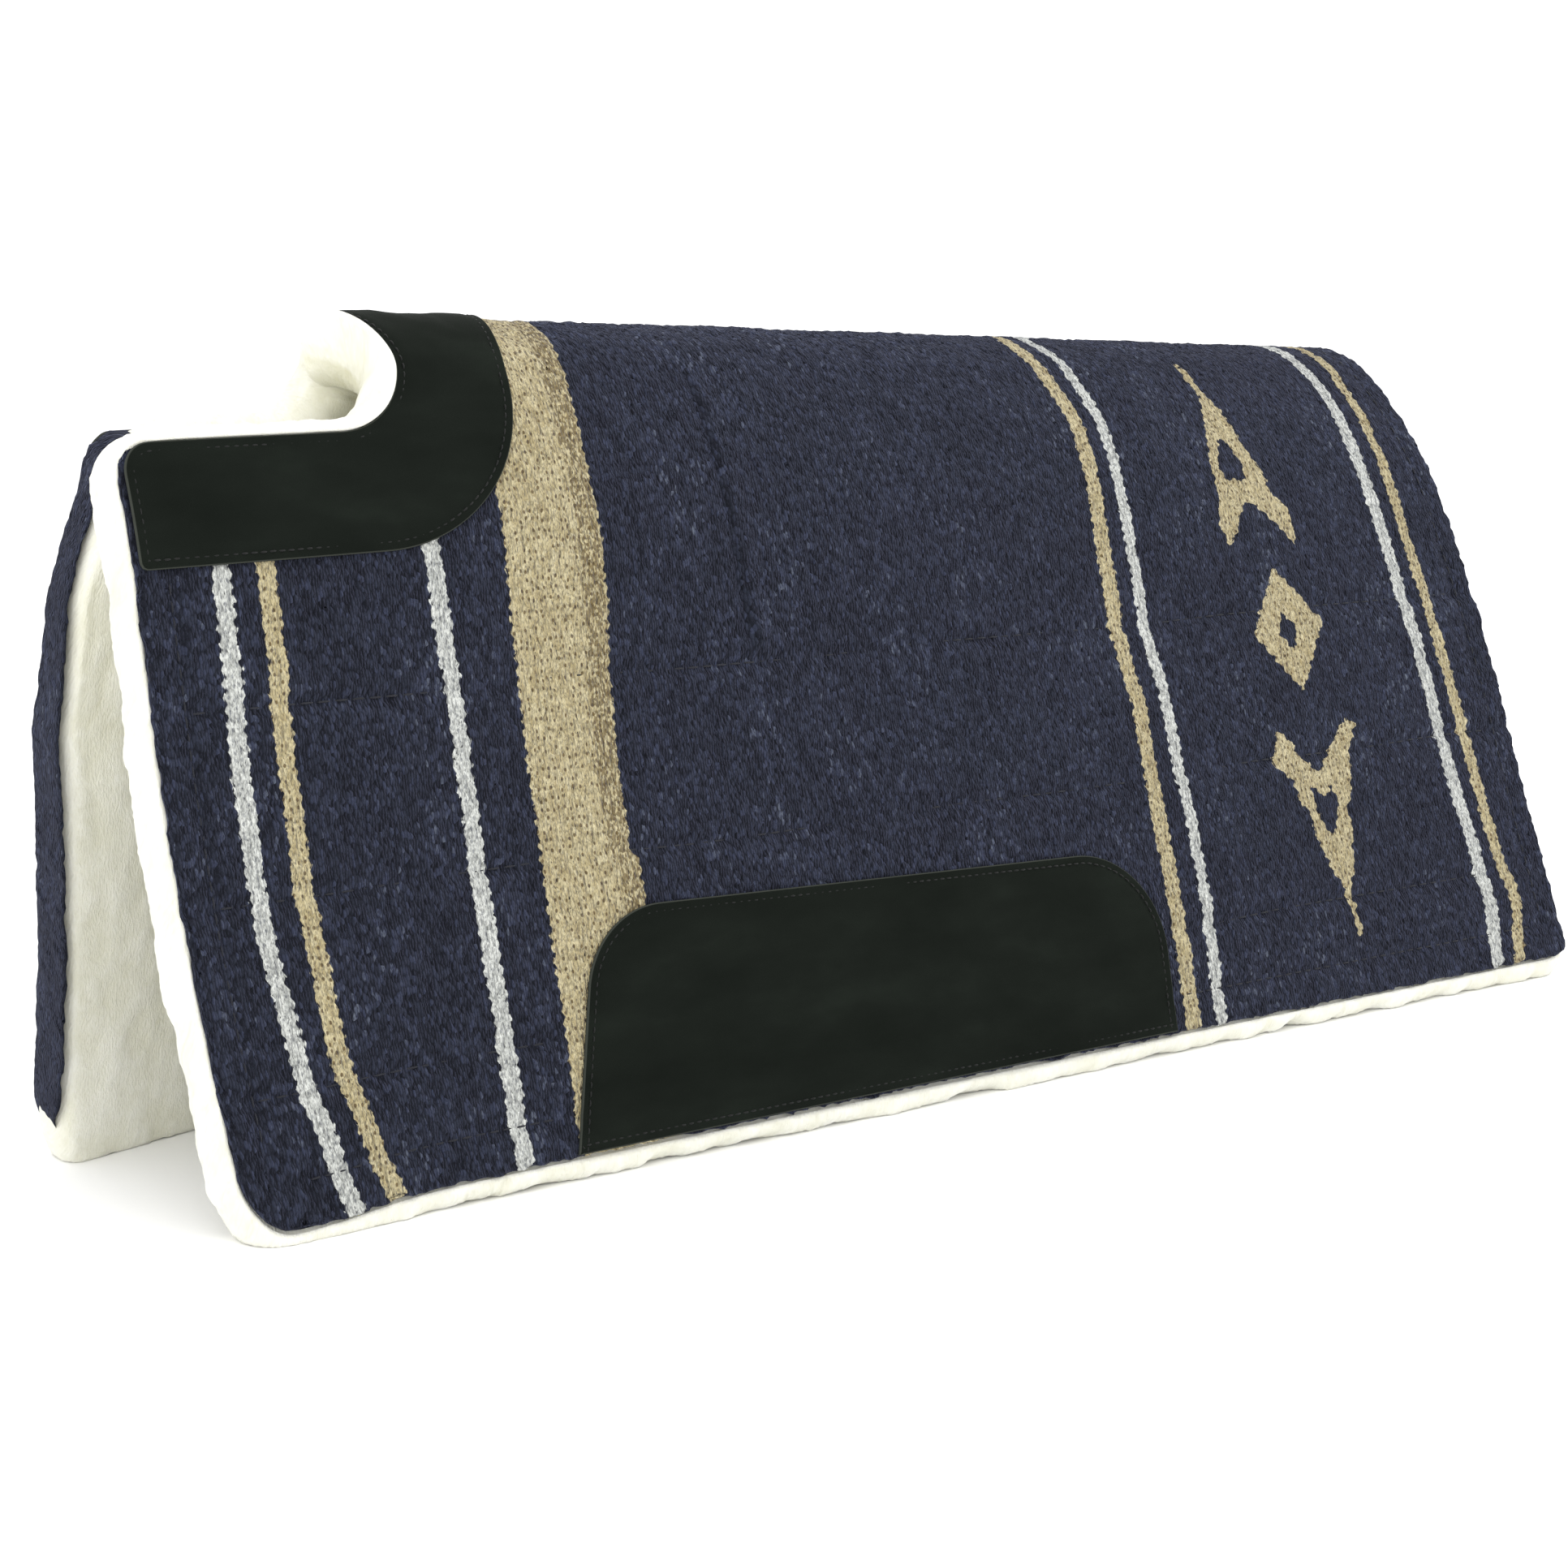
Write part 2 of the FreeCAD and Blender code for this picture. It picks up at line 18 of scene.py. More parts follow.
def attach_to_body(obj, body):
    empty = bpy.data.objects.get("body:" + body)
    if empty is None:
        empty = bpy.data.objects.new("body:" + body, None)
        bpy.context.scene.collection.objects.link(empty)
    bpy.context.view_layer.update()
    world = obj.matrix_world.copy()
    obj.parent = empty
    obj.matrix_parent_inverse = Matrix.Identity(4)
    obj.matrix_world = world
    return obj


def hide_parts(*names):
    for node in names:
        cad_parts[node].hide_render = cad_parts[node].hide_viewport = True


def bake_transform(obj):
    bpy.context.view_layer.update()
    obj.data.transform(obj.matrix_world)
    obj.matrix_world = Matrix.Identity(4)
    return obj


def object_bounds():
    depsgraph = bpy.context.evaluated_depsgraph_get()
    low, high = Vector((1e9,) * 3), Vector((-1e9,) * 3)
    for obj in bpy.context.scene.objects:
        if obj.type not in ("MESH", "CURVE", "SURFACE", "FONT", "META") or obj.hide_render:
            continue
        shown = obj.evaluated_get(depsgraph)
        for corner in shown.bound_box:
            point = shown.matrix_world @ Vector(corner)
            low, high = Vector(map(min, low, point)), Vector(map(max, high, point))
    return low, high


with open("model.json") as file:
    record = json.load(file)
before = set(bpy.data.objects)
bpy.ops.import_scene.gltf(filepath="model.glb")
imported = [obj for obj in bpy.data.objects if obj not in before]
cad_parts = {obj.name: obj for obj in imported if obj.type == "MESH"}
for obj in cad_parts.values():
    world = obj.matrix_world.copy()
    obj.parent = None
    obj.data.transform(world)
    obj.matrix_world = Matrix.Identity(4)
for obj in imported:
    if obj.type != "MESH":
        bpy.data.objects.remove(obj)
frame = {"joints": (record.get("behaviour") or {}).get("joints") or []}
CAD_BOX = [list(corner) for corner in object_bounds()]

MM = 0.001
SIDES = {"near": -1.0, "far": 1.0}


def hill(distance, reach):
    """1 at no distance, fading to nothing well past the reach."""
    return np.exp(-(distance / reach) ** 2)


def rising(value, start, length):
    """From 0 at the start to 1 a length further on."""
    return np.clip((value - start) / length, 0, 1)


# ---- the draped outer face, as in the CAD
HALF_LENGTH = CAD_BOX[1][0]
RUNS = (50 * MM, 95 * MM, 155 * MM)  # ridge, shoulder and flank, along the outer face
DROP = 415 * MM  # ridge to the blanket's hem
HEM_LIFT = 13 * MM
TURNS = {"front": (0.0, 66.0, 89.0, 79.0), "rear": (0.0, 41.0, 66.0, 71.0)}
FLOOR = 0.0

# Leans of the limp front edge as (s, lean) in millimetres, back where positive.
FRONT_LEAN = [(80, -6.0), (175, -3.0), (290, 0.5), (340, 2.7), (405, 7.5)]
FAR_LEAN = [(95, 29), (110, 26), (130, 19), (155, 11), (215, 1.5), (330, 0), (410, -7)]
LEAN_START = -250 * MM
LEAN_LENGTH = 130 * MM
SAG = 7 * MM
SAG_AT, SAG_REACH = -388 * MM, 52 * MM
SAG_START, SAG_LENGTH = 300 * MM, 110 * MM


def section(end, s, depth):
    """Points (y, z) of the far side's section: s along the outer face, depth below it."""
    turns = np.radians(TURNS[end])
    starts = np.concatenate([[0.0], np.cumsum(RUNS)])
    y0, z0 = 0.0, 0.0
    y = np.zeros(len(s))
    z = np.zeros(len(s))
    for i, run in enumerate(RUNS):
        a, b = turns[i], turns[i + 1]
        radius = run / (b - a)
        yc = y0 - math.sin(a) * radius
        zc = z0 - math.cos(a) * radius
        turn = a + np.clip(s - starts[i], -1.0, run) / radius
        inside = s >= starts[i] if i else np.ones(len(s), bool)
        y = np.where(inside, yc + np.sin(turn) * (radius - depth), y)
        z = np.where(inside, zc + np.cos(turn) * (radius - depth), z)
        y0 = yc + math.sin(b) * radius
        z0 = zc + math.cos(b) * radius
    hem = turns[3]
    extra = s - starts[3]
    straight = extra > 0
    y = np.where(straight, y0 + math.cos(hem) * extra - math.sin(hem) * depth, y)
    z = np.where(straight, z0 - math.sin(hem) * extra - math.cos(hem) * depth, z)
    drop = z0 - math.sin(hem) * (DROP - starts[3])
    return y, z - drop + HEM_LIFT


def lean_at(table, x, s):
    """A lean of the front edge, growing from nothing well behind it."""
    down, lean = (np.array(values) * MM for values in zip(*table))
    return np.interp(s, down, lean) * np.clip((LEAN_START - x) / LEAN_LENGTH, 0, 1.15) ** 1.5


def front_sag(x, s):
    """How far the front foot hangs lower than the rest of the hem."""
    return SAG * hill(x - SAG_AT, SAG_REACH) * rising(s, SAG_START, SAG_LENGTH) ** 2


def place(x, s, depth, side):
    """Points of the pad from places (x, s) and depths below the outer face."""
    x, s, depth = (np.asarray(v, float) + np.zeros(np.shape(x)) for v in (x, s, depth))
    lean = lean_at(FRONT_LEAN, x, s) + (lean_at(FAR_LEAN, x, s) if side > 0 else 0.0)
    s = s + front_sag(x, s)
    y_front, z_front = section("front", s, depth)
    y_rear, z_rear = section("rear", s, depth)
    w = (x + HALF_LENGTH) / (2 * HALF_LENGTH)
    y = y_front + (y_rear - y_front) * w
    z = z_front + (z_rear - z_front) * w
    return np.stack([x + lean, side * y, np.maximum(z, FLOOR)], axis=1)


def place_half(x, s, depth, side):
    """Points of a half of the pad, whose cut face lies exactly on the ridge."""
    points = place(x, s, depth, side)
    points[s < 1e-9, 1] = 0.0
    return points


def ridge_height(x):
    """Height of the outer face's ridge at x."""
    return float(place(np.array([x]), 0.0, 0.0, 1.0)[0, 2])


def run_at(x, z):
    """The s of the outer face's point at (x, z)."""
    table = np.linspace(0.0, DROP, 420)
    result = []
    for one_x, one_z in zip(x, z):
        heights = place(np.full(len(table), one_x), table, 0.0, 1.0)[:, 2]
        result.append(np.interp(-one_z, -heights, table))
    return np.array(result)


# ---- deterministic noise
def hashed(i, j, seed):
    """A number from 0 to 1 for each cell (i, j)."""
    value = np.sin(i * 127.1 + j * 311.7 + seed * 74.7) * 43758.5453
    return value - np.floor(value)


def noise(u, v, seed):
    """Smooth noise from -1 to 1 with one bump per unit."""
    i, j = np.floor(u), np.floor(v)
    a, b = u - i, v - j
    a, b = a * a * (3 - 2 * a), b * b * (3 - 2 * b)
    low = hashed(i, j, seed) * (1 - a) + hashed(i + 1, j, seed) * a
    high = hashed(i, j + 1, seed) * (1 - a) + hashed(i + 1, j + 1, seed) * a
    return 2 * (low * (1 - b) + high * b) - 1


def waves(u, v, height, length_u, length_v, seed):
    """Smooth noise over places, with its height and the size of its bumps in millimetres."""
    return height * MM * noise(u / (length_u * MM), v / (length_v * MM), seed)


def knobs(u, v, seed):
    """Domes from 0 to 1, one to a cell of a loose brick pattern."""
    v = v + 0.5 * (np.floor(u) % 2)
    i, j = np.floor(u), np.floor(v)
    nearest = np.full(len(u), 9.0)
    for di in (-1, 0, 1):
        for dj in (-1, 0, 1):
            ci, cj = i + di, j + dj
            pu = ci + 0.5 + 0.45 * (hashed(ci, cj, seed) - 0.5)
            pv = cj + 0.5 + 0.45 * (hashed(ci, cj, seed + 3) - 0.5)
            nearest = np.minimum(nearest, (u - pu) ** 2 + (v - pv) ** 2)
    return np.clip(1 - nearest * 2.2, 0, 1) ** 0.7


# ---- outlines on the pad
def fillet_path(corners, step):
    """Open path through (x, z, radius) corners with round corners, a point every step."""
    points = [Vector(corners[0][:2])]
    for i in range(1, len(corners) - 1):
        here = Vector(corners[i][:2])
        before = (Vector(corners[i - 1][:2]) - here).normalized()
        after = (Vector(corners[i + 1][:2]) - here).normalized()
        radius = corners[i][2]
        half = before.angle(after) / 2
        setback = radius / math.tan(half)
        centre = here + (before + after).normalized() * (radius / math.sin(half))
        start, end = here + before * setback, here + after * setback
        points.append(start)
        if radius > 0:
            a0 = math.atan2(start.y - centre.y, start.x - centre.x)
            a1 = math.atan2(end.y - centre.y, end.x - centre.x)
            swing = (a1 - a0 + math.pi) % (2 * math.pi) - math.pi
            count = max(3, int(abs(swing) * radius / step))
            for k in range(1, count):
                angle = a0 + swing * k / count
                points.append(centre + Vector((math.cos(angle), math.sin(angle))) * radius)
            points.append(end)
    points.append(Vector(corners[-1][:2]))
    return resample(np.array([tuple(p) for p in points]), step)


def resample(path, step):
    """The same path with its points a step apart."""
    gaps = np.linalg.norm(np.diff(path, axis=0), axis=1)
    along = np.concatenate([[0.0], np.cumsum(gaps)])
    count = max(2, int(round(along[-1] / step)) + 1)
    even = np.linspace(0, along[-1], count)
    return np.stack([np.interp(even, along, path[:, k]) for k in (0, 1)], axis=1)


def side_path(corners, step):
    """A path drawn in the side view (x, z), laid on the outer face as (x, s)."""
    path = fillet_path(corners, step)
    path = np.stack([path[:, 0], run_at(path[:, 0], path[:, 1])], axis=1)
    return resample(path, step)


def normals_of(path):
    """Unit normals into the area a path goes round; at a ridge end the normal stays on the ridge."""
    if np.allclose(path[0], path[-1]):
        loop = path[:-1]
        gap = np.roll(loop, -1, axis=0) - np.roll(loop, 1, axis=0)
        gap = np.concatenate([gap, gap[:1]])
    else:
        gap = np.gradient(path, axis=0)
    gap /= np.linalg.norm(gap, axis=1)[:, None]
    normal = np.stack([gap[:, 1], -gap[:, 0]], axis=1)
    for k in (0, -1):
        if path[k, 1] < 1e-6:
            normal[k] = (math.copysign(1.0, normal[k, 0]), 0.0)
    return normal


NOTCH_BACK = -HALF_LENGTH + 136 * MM
NOTCH_EDGE = ridge_height(-HALF_LENGTH) - 56 * MM
WITHER_FRONT = -HALF_LENGTH + 1.5 * MM
WITHER_REAR = -HALF_LENGTH + 193 * MM
WITHER_BASE = 289 * MM
NOTCH_RADIUS = 34 * MM
ARCH_REACH, ARCH_DROP = 15 * MM, 50 * MM  # how the notch's back comes forward at the ridge


def rounded_notch(path):
    """The notch's path drawn forward towards the ridge, so its back is an arch."""
    path[:, 0] -= ARCH_REACH * np.clip(1 - path[:, 1] / ARCH_DROP, 0, 1) ** 1.6
    return path


def pad_border(step, corner_front, corner_rear, hem_s):
    """The pad's free border, from the ridge at the notch round by the front to the ridge's rear."""
    x = HALF_LENGTH
    notch = side_path([(NOTCH_BACK, ridge_height(NOTCH_BACK), 0), (NOTCH_BACK, NOTCH_EDGE, NOTCH_RADIUS),
                       (-x + 40 * MM, NOTCH_EDGE, 0)], step)
    notch[0, 1] = 0.0
    notch = rounded_notch(notch)
    mouth = run_at([-x], [NOTCH_EDGE])[0]
    rest = fillet_path([tuple(notch[-1]) + (0,), (-x, mouth, 16 * MM), (-x, hem_s, corner_front),
                        (x, hem_s, corner_rear), (x, 0.0, 0)], step)
    return np.concatenate([notch[:-1], rest])


# ---- filling an outline with a mesh
def inside(points, polygon):
    """Which points are inside a closed polygon."""
    result = np.zeros(len(points), bool)
    x, y = points[:, 0], points[:, 1]
    for (x0, y0), (x1, y1) in zip(polygon, np.roll(polygon, -1, axis=0)):
        if y0 == y1:
            continue
        crosses = (y0 > y) != (y1 > y)
        result ^= crosses & (x < (x1 - x0) * (y - y0) / (y1 - y0) + x0)
    return result


def near_border(points, polygon, reach, cell):
    """Which points are closer than about reach to the polygon's own points."""
    taken = {}
    for px, py in polygon:
        taken.setdefault((int(px // cell), int(py // cell)), []).append((px, py))
    result = np.zeros(len(points), bool)
    for n, (px, py) in enumerate(points):
        i, j = int(px // cell), int(py // cell)
        for di in (-1, 0, 1):
            for dj in (-1, 0, 1):
                for qx, qy in taken.get((i + di, j + dj), ()):
                    if (px - qx) ** 2 + (py - qy) ** 2 < reach * reach:
                        result[n] = True
    return result


def fill(polygon, pitch_x, pitch_s):
    """Fills a closed polygon: a grid of quads inside and triangles up to the border.

    Returns points, whose first ones are the polygon's, and faces."""
    low, high = polygon.min(0), polygon.max(0)
    xs = np.arange(low[0] + pitch_x / 2, high[0], pitch_x)
    ss = np.arange(low[1] + pitch_s / 2, high[1], pitch_s)
    gx, gs = np.meshgrid(xs, ss, indexing="ij")
    grid = np.stack([gx.ravel(), gs.ravel()], axis=1)
    keep = inside(grid, polygon)
    close = np.zeros(len(grid), bool)
    reach = 0.75 * max(pitch_x, pitch_s)
    candidates = np.flatnonzero(keep)
    close[candidates] = near_border(grid[candidates], polygon, reach, reach)
    keep &= ~close
    ok = keep.reshape(len(xs), len(ss))
    cell = ok[:-1, :-1] & ok[1:, :-1] & ok[1:, 1:] & ok[:-1, 1:]
    used = np.zeros_like(ok)
    for di in (0, 1):
        for dj in (0, 1):
            used[di:len(xs) - 1 + di, dj:len(ss) - 1 + dj] |= cell
    number = -np.ones(ok.shape, int)
    number[used] = len(polygon) + np.arange(used.sum())
    points = np.concatenate([polygon, np.stack([gx[used], gs[used]], axis=1)])
    ci, cj = np.nonzero(cell)
    quads = np.stack([number[ci, cj], number[ci + 1, cj], number[ci + 1, cj + 1], number[ci, cj + 1]], axis=1)
    edges = np.concatenate([quads[:, [k, (k + 1) % 4]] for k in range(4)])
    _, index, counts = np.unique(np.sort(edges, axis=1), axis=0, return_index=True, return_counts=True)
    rim = edges[index[counts == 1]]
    count = len(polygon)
    border = np.stack([np.arange(count), (np.arange(count) + 1) % count], axis=1)
    ids = np.concatenate([np.arange(count), np.unique(rim)])
    local = -np.ones(len(points), int)
    local[ids] = np.arange(len(ids))
    both = [tuple(e) for e in local[np.concatenate([border, rim])]]
    out = geometry.delaunay_2d_cdt([Vector(p) for p in points[ids]], both, [], 0, 1e-9)
    triangles = np.array(out[2])
    origin = np.array([o[0] if o else -1 for o in out[3]])
    triangles = ids[origin[triangles]]
    middle = points[triangles].mean(axis=1)
    good = inside(middle, polygon)
    i = np.floor((middle[:, 0] - xs[0]) / pitch_x).astype(int)
    j = np.floor((middle[:, 1] - ss[0]) / pitch_s).astype(int)
    within = (i >= 0) & (j >= 0) & (i < cell.shape[0]) & (j < cell.shape[1])
    covered = np.zeros(len(middle), bool)
    covered[within] = cell[i[within], j[within]]
    triangles = triangles[good & ~covered]
    faces = [list(q) for q in quads] + [list(t) for t in triangles]
    return points, faces


def slab(border, rings, pitch_top, pitch_bottom):
    """Closed layer over the area inside an open border whose two ends are on the ridge, or of a closed one.

    rings is a list of (step inside the border, depth) from the top face's rim to the bottom face's,
    each a number or one value per border point. Returns x, s, depth, faces, which points are on
    the top face and which edges are sharp."""
    closed = np.allclose(border[0], border[-1])
    normal = normals_of(border)
    if closed:
        border, normal = border[:-1], normal[:-1]
    count = len(border)
    places, depths, faces, sharp = [], [], [], []
    for inset, depth in rings:
        inset = np.zeros(count) + inset
        places.append(border + normal * inset[:, None])
        depths.append(np.zeros(count) + depth)
    for k in range(len(rings) - 1):
        for i in range(count if closed else count - 1):
            j = (i + 1) % count
            faces.append([k * count + i, k * count + j, (k + 1) * count + j, (k + 1) * count + i])
    total = len(rings) * count
    caps = []
    for ring, pitch, flip in ((0, pitch_top, False), (len(rings) - 1, pitch_bottom, True)):
        loop = places[ring]
        ids = list(range(ring * count, (ring + 1) * count))
        extra = np.zeros((0, 2))
        if not closed:
            span = loop[0, 0] - loop[-1, 0]
            steps = max(2, int(abs(span) / (3 * MM)))
            xs = loop[-1, 0] + span * np.arange(1, steps) / steps
            extra = np.stack([xs, np.zeros(len(xs))], axis=1)
        polygon = np.concatenate([loop, extra])
        points, cap = fill(polygon, *pitch)
        new = points[count:]
        ids += list(range(total, total + len(new)))
        total += len(new)
        places.append(new)
        depths.append(np.full(len(new), depths[ring].mean() if closed else depths[ring][0]))
        for face in cap:
            a, b, c = (points[face[k]] for k in (0, 1, 2))
            clockwise = (b[0] - a[0]) * (c[1] - b[1]) - (b[1] - a[1]) * (c[0] - b[0]) < 0
            face = [ids[k] for k in face]
            faces.append(face[::-1] if clockwise != flip else face)
        caps.append((ids, len(extra)))
    if not closed:
        walls = []
        for ids, extra in caps:
            walls.append([ids[count - 1]] + ids[count:count + extra] + [ids[0]])
        first = [k * count for k in range(len(rings))]
        last = [k * count + count - 1 for k in range(len(rings))]
        top, bottom = walls
        wall = top + first[1:-1] + bottom[::-1] + last[1:-1][::-1]
        where = np.concatenate(places)
        deep = np.concatenate(depths)
        flat = [Vector((where[i, 0], deep[i])) for i in wall]
        out = geometry.delaunay_2d_cdt(flat, [], [list(range(len(wall)))], 1, 1e-9)
        back = [o[0] for o in out[3]]
        faces += [[wall[back[k]] for k in triangle] for triangle in out[2]]
        sharp = [(wall[i], wall[(i + 1) % len(wall)]) for i in range(len(wall))]
    where = np.concatenate(places)
    return where[:, 0], where[:, 1], np.concatenate(depths), faces, np.array(caps[0][0]), sharp


def build(name, points, faces, finish, uv, sharp=()):
    """Mesh object from points and faces, facing outward, with (x, s) in metres as its UV map."""
    me = bpy.data.meshes.new(name)
    me.from_pydata([tuple(p) for p in points], [], [tuple(int(i) for i in f) for f in faces])
    me.update()
    ob = bpy.data.objects.new(name, me)
    bpy.context.scene.collection.objects.link(ob)
    layer = me.uv_layers.new(name="cloth")
    index = np.zeros(len(me.loops), np.int32)
    me.loops.foreach_get("vertex_index", index)
    layer.data.foreach_set("uv", uv[index].astype(np.float32).ravel())
    me.polygons.foreach_set("use_smooth", np.ones(len(me.polygons), bool))
    me.materials.append(finish.material)
    outward(ob)
    if len(sharp):
        wanted = {tuple(sorted((int(a), int(b)))) for a, b in sharp}
        flags = [tuple(sorted(e.vertices)) in wanted for e in me.edges]
        attribute = me.attributes.get("sharp_edge") or me.attributes.new("sharp_edge", "BOOLEAN", "EDGE")
        attribute.data.foreach_set("value", flags)
    return ob


def outward(ob):
    """Turns every face of a closed mesh outward."""
    bm = bmesh.new()
    bm.from_mesh(ob.data)
    bmesh.ops.recalc_face_normals(bm, faces=bm.faces)
    bm.to_mesh(ob.data)
    bm.free()


def attach(ob, name, values):
    """Gives each point of a mesh a value that its material reads."""
    attribute = ob.data.attributes.new(name, "FLOAT", "POINT")
    attribute.data.foreach_set("value", np.asarray(values, np.float32))


# ---- relief shared by the stacked layers
QUILT_ROWS = (197 * MM, 280 * MM, 361 * MM)
SEAM_INSET = 14 * MM
SEAM_RISE = 19 * MM
WEAR_FRONT, WEAR_REAR, WEAR_TOP = -241 * MM, 117 * MM, 306 * MM
ROW_PULL, ROW_REACH = 2.2 * MM, 3.6 * MM
SEAM_PULL, SEAM_REACH = 1.0 * MM, 3.5 * MM


def row_line(row, x):
    """The s of a quilting row along the pad: it wanders a little."""
    return row + 1.2 * MM * noise(x / (70 * MM), row * 40 + x * 0, 5)


def creases(x, s):
    """How far the quilting and the seam round the edge pull the face in."""
    pull = np.zeros(len(x))
    for row in QUILT_ROWS:
        strength = 0.75 + 0.45 * noise(x / (26 * MM), row * 90 + x * 0, 9)
        under = (s > WEAR_TOP) & (x > WEAR_FRONT) & (x < WEAR_REAR) if row > WEAR_TOP else False
        dent = strength * ROW_PULL * hill(s - row_line(row, x), ROW_REACH)
        pull += np.where(under, 0.0, dent)
    ends = np.minimum(HALF_LENGTH - SEAM_INSET - x, x + HALF_LENGTH - SEAM_INSET)
    edge = np.minimum(ends, DROP - SEAM_RISE - s)
    return pull + SEAM_PULL * hill(edge, SEAM_REACH)


def swell(x, s, side):
    """Broad unevenness of the whole pad, outward."""
    t = s * side
    broad = 1.8 * MM * noise(x / (150 * MM) + 3.1, t / (120 * MM) + 1.7, 11)
    return (broad + waves(x, t, 0.7, 45, 55, 12)) * np.clip(s / (30 * MM), 0.25, 1.0)


def pleat(x, s, side):
    """The slanting fold in the near flap's blanket: outward."""
    if side > 0:
        return np.zeros(len(x))
    gap = x + 110 * MM - 6 * MM * rising(s, 20 * MM, 165 * MM) ** 2
    ends = rising(s, 15 * MM, 60 * MM) * np.clip((192 * MM - s) / (8 * MM), 0, 1)
    crest = 1.5 * MM * hill(gap - 4 * MM, 5 * MM)
    furrow = 1.8 * MM * hill(gap + 1 * MM, 2.2 * MM)
    lump = 2.6 * MM * np.exp(-(((x + 100 * MM) / (5 * MM)) ** 2 + ((s - 187 * MM) / (8 * MM)) ** 2))
    return (crest - furrow) * ends + lump


# ---- shader arithmetic
class Value:
    """A shader value: arithmetic on it adds math nodes to its material."""

    def __init__(self, tree, socket):
        self.tree = tree
        self.socket = socket

    def node(self, operation, *others):
        made = self.tree.nodes.new("ShaderNodeMath")
        made.operation = operation
        for index, item in enumerate((self,) + others):
            if isinstance(item, Value):
                self.tree.links.new(item.socket, made.inputs[index])
            else:
                made.inputs[index].default_value = item
        return Value(self.tree, made.outputs[0])

    def __add__(self, other):
        return self.node("ADD", other)

    def __sub__(self, other):
        return self.node("SUBTRACT", other)

    def __mul__(self, other):
        return self.node("MULTIPLY", other)

    def mod(self, period):
        return self.node("FLOORED_MODULO", period)

    def above(self, edge, soft):
        """0 below the edge and 1 above it, over a width of soft."""
        made = self.tree.nodes.new("ShaderNodeMapRange")
        made.interpolation_type = "SMOOTHSTEP"
        self.tree.links.new(self.socket, made.inputs[0])
        made.inputs[1].default_value = edge - soft / 2
        made.inputs[2].default_value = edge + soft / 2
        return Value(self.tree, made.outputs[0])


class Finish:
    """A material in the making."""

    def __init__(self, name, roughness, specular, sheen=0.0, sheen_tint=(1, 1, 1), sheen_roughness=0.5):
        self.material = bpy.data.materials.new(name)
        self.material.use_nodes = True
        self.tree = self.material.node_tree
        self.shader = self.tree.nodes["Principled BSDF"]
        inputs = self.shader.inputs
        inputs["Roughness"].default_value = roughness
        inputs["Specular IOR Level"].default_value = specular
        inputs["Sheen Weight"].default_value = sheen
        inputs["Sheen Tint"].default_value = (*sheen_tint, 1)
        inputs["Sheen Roughness"].default_value = sheen_roughness
        self.uv = self.add("ShaderNodeUVMap")
        self.uv.uv_map = "cloth"

    def add(self, kind):
        return self.tree.nodes.new(kind)

    def link(self, a, b):
        self.tree.links.new(a, b)

    def attribute(self, name):
        made = self.add("ShaderNodeAttribute")
        made.attribute_name = name
        return Value(self.tree, made.outputs["Fac"])

    def down(self):
        """The place's s, down the flap."""
        split = self.add("ShaderNodeSeparateXYZ")
        self.link(self.uv.outputs[0], split.inputs[0])
        return Value(self.tree, split.outputs[1])

    def scaled(self, size_x, size_s):
        """(x, s) in cells of that size."""
        made = self.add("ShaderNodeMapping")
        self.link(self.uv.outputs[0], made.inputs["Vector"])
        made.inputs["Scale"].default_value = (1 / size_x, 1 / size_s, 1)
        return made.outputs[0]

    def noise(self, size_x, size_s, detail):
        made = self.add("ShaderNodeTexNoise")
        made.noise_dimensions = "2D"
        self.link(self.scaled(size_x, size_s), made.inputs["Vector"])
        made.inputs["Scale"].default_value = 1.0
        made.inputs["Detail"].default_value = detail
        return Value(self.tree, made.outputs[0])

    def cells(self, size_x, size_s, randomness=1.0):
        """Distance to, and a random number of, the nearest cell."""
        made = self.add("ShaderNodeTexVoronoi")
        made.voronoi_dimensions = "2D"
        self.link(self.scaled(size_x, size_s), made.inputs["Vector"])
        made.inputs["Scale"].default_value = 1.0
        made.inputs["Randomness"].default_value = randomness
        split = self.add("ShaderNodeSeparateColor")
        self.link(made.outputs["Color"], split.inputs[0])
        return Value(self.tree, made.outputs["Distance"]), Value(self.tree, split.outputs[0])

    def ramp(self, value, stops):
        made = self.add("ShaderNodeValToRGB")
        self.link(value.socket, made.inputs[0])
        elements = made.color_ramp.elements
        while len(elements) < len(stops):
            elements.new(0.5)
        for element, (position, colour) in zip(elements, stops):
            element.position = position
            element.color = (*linear(colour), 1)
        return made.outputs[0]

    def mix(self, share, a, b):
        """The colour a, with a share of b, which may be an sRGB colour."""
        made = self.add("ShaderNodeMix")
        made.data_type = "RGBA"
        self.link(share.socket, made.inputs[0])
        self.link(a, made.inputs[6])
        if isinstance(b, tuple):
            made.inputs[7].default_value = (*linear(b), 1)
        else:
            self.link(b, made.inputs[7])
        return made.outputs[2]

    def bump(self, height, distance, strength, under=None):
        made = self.add("ShaderNodeBump")
        made.inputs["Distance"].default_value = distance
        made.inputs["Strength"].default_value = strength
        self.link(height.socket, made.inputs["Height"])
        if under is not None:
            self.link(under, made.inputs["Normal"])
        return made.outputs[0]

    def colour(self, socket):
        self.link(socket, self.shader.inputs["Base Color"])

    def normal(self, socket):
        self.link(socket, self.shader.inputs["Normal"])


def linear(colour):
    """sRGB from 0 to 255, as linear light."""
    return tuple((c / 255 / 12.92) if c <= 10 else ((c / 255 + 0.055) / 1.055) ** 2.4 for c in colour)


# ---- camera, light and floor
CAMERA_TURN = (-39.47, 10.08, -1.09)  # azimuth, elevation and roll in degrees
CAMERA_TARGET = Vector((-61, -52, 154)) * MM
CAMERA_DISTANCE = 1381 * MM


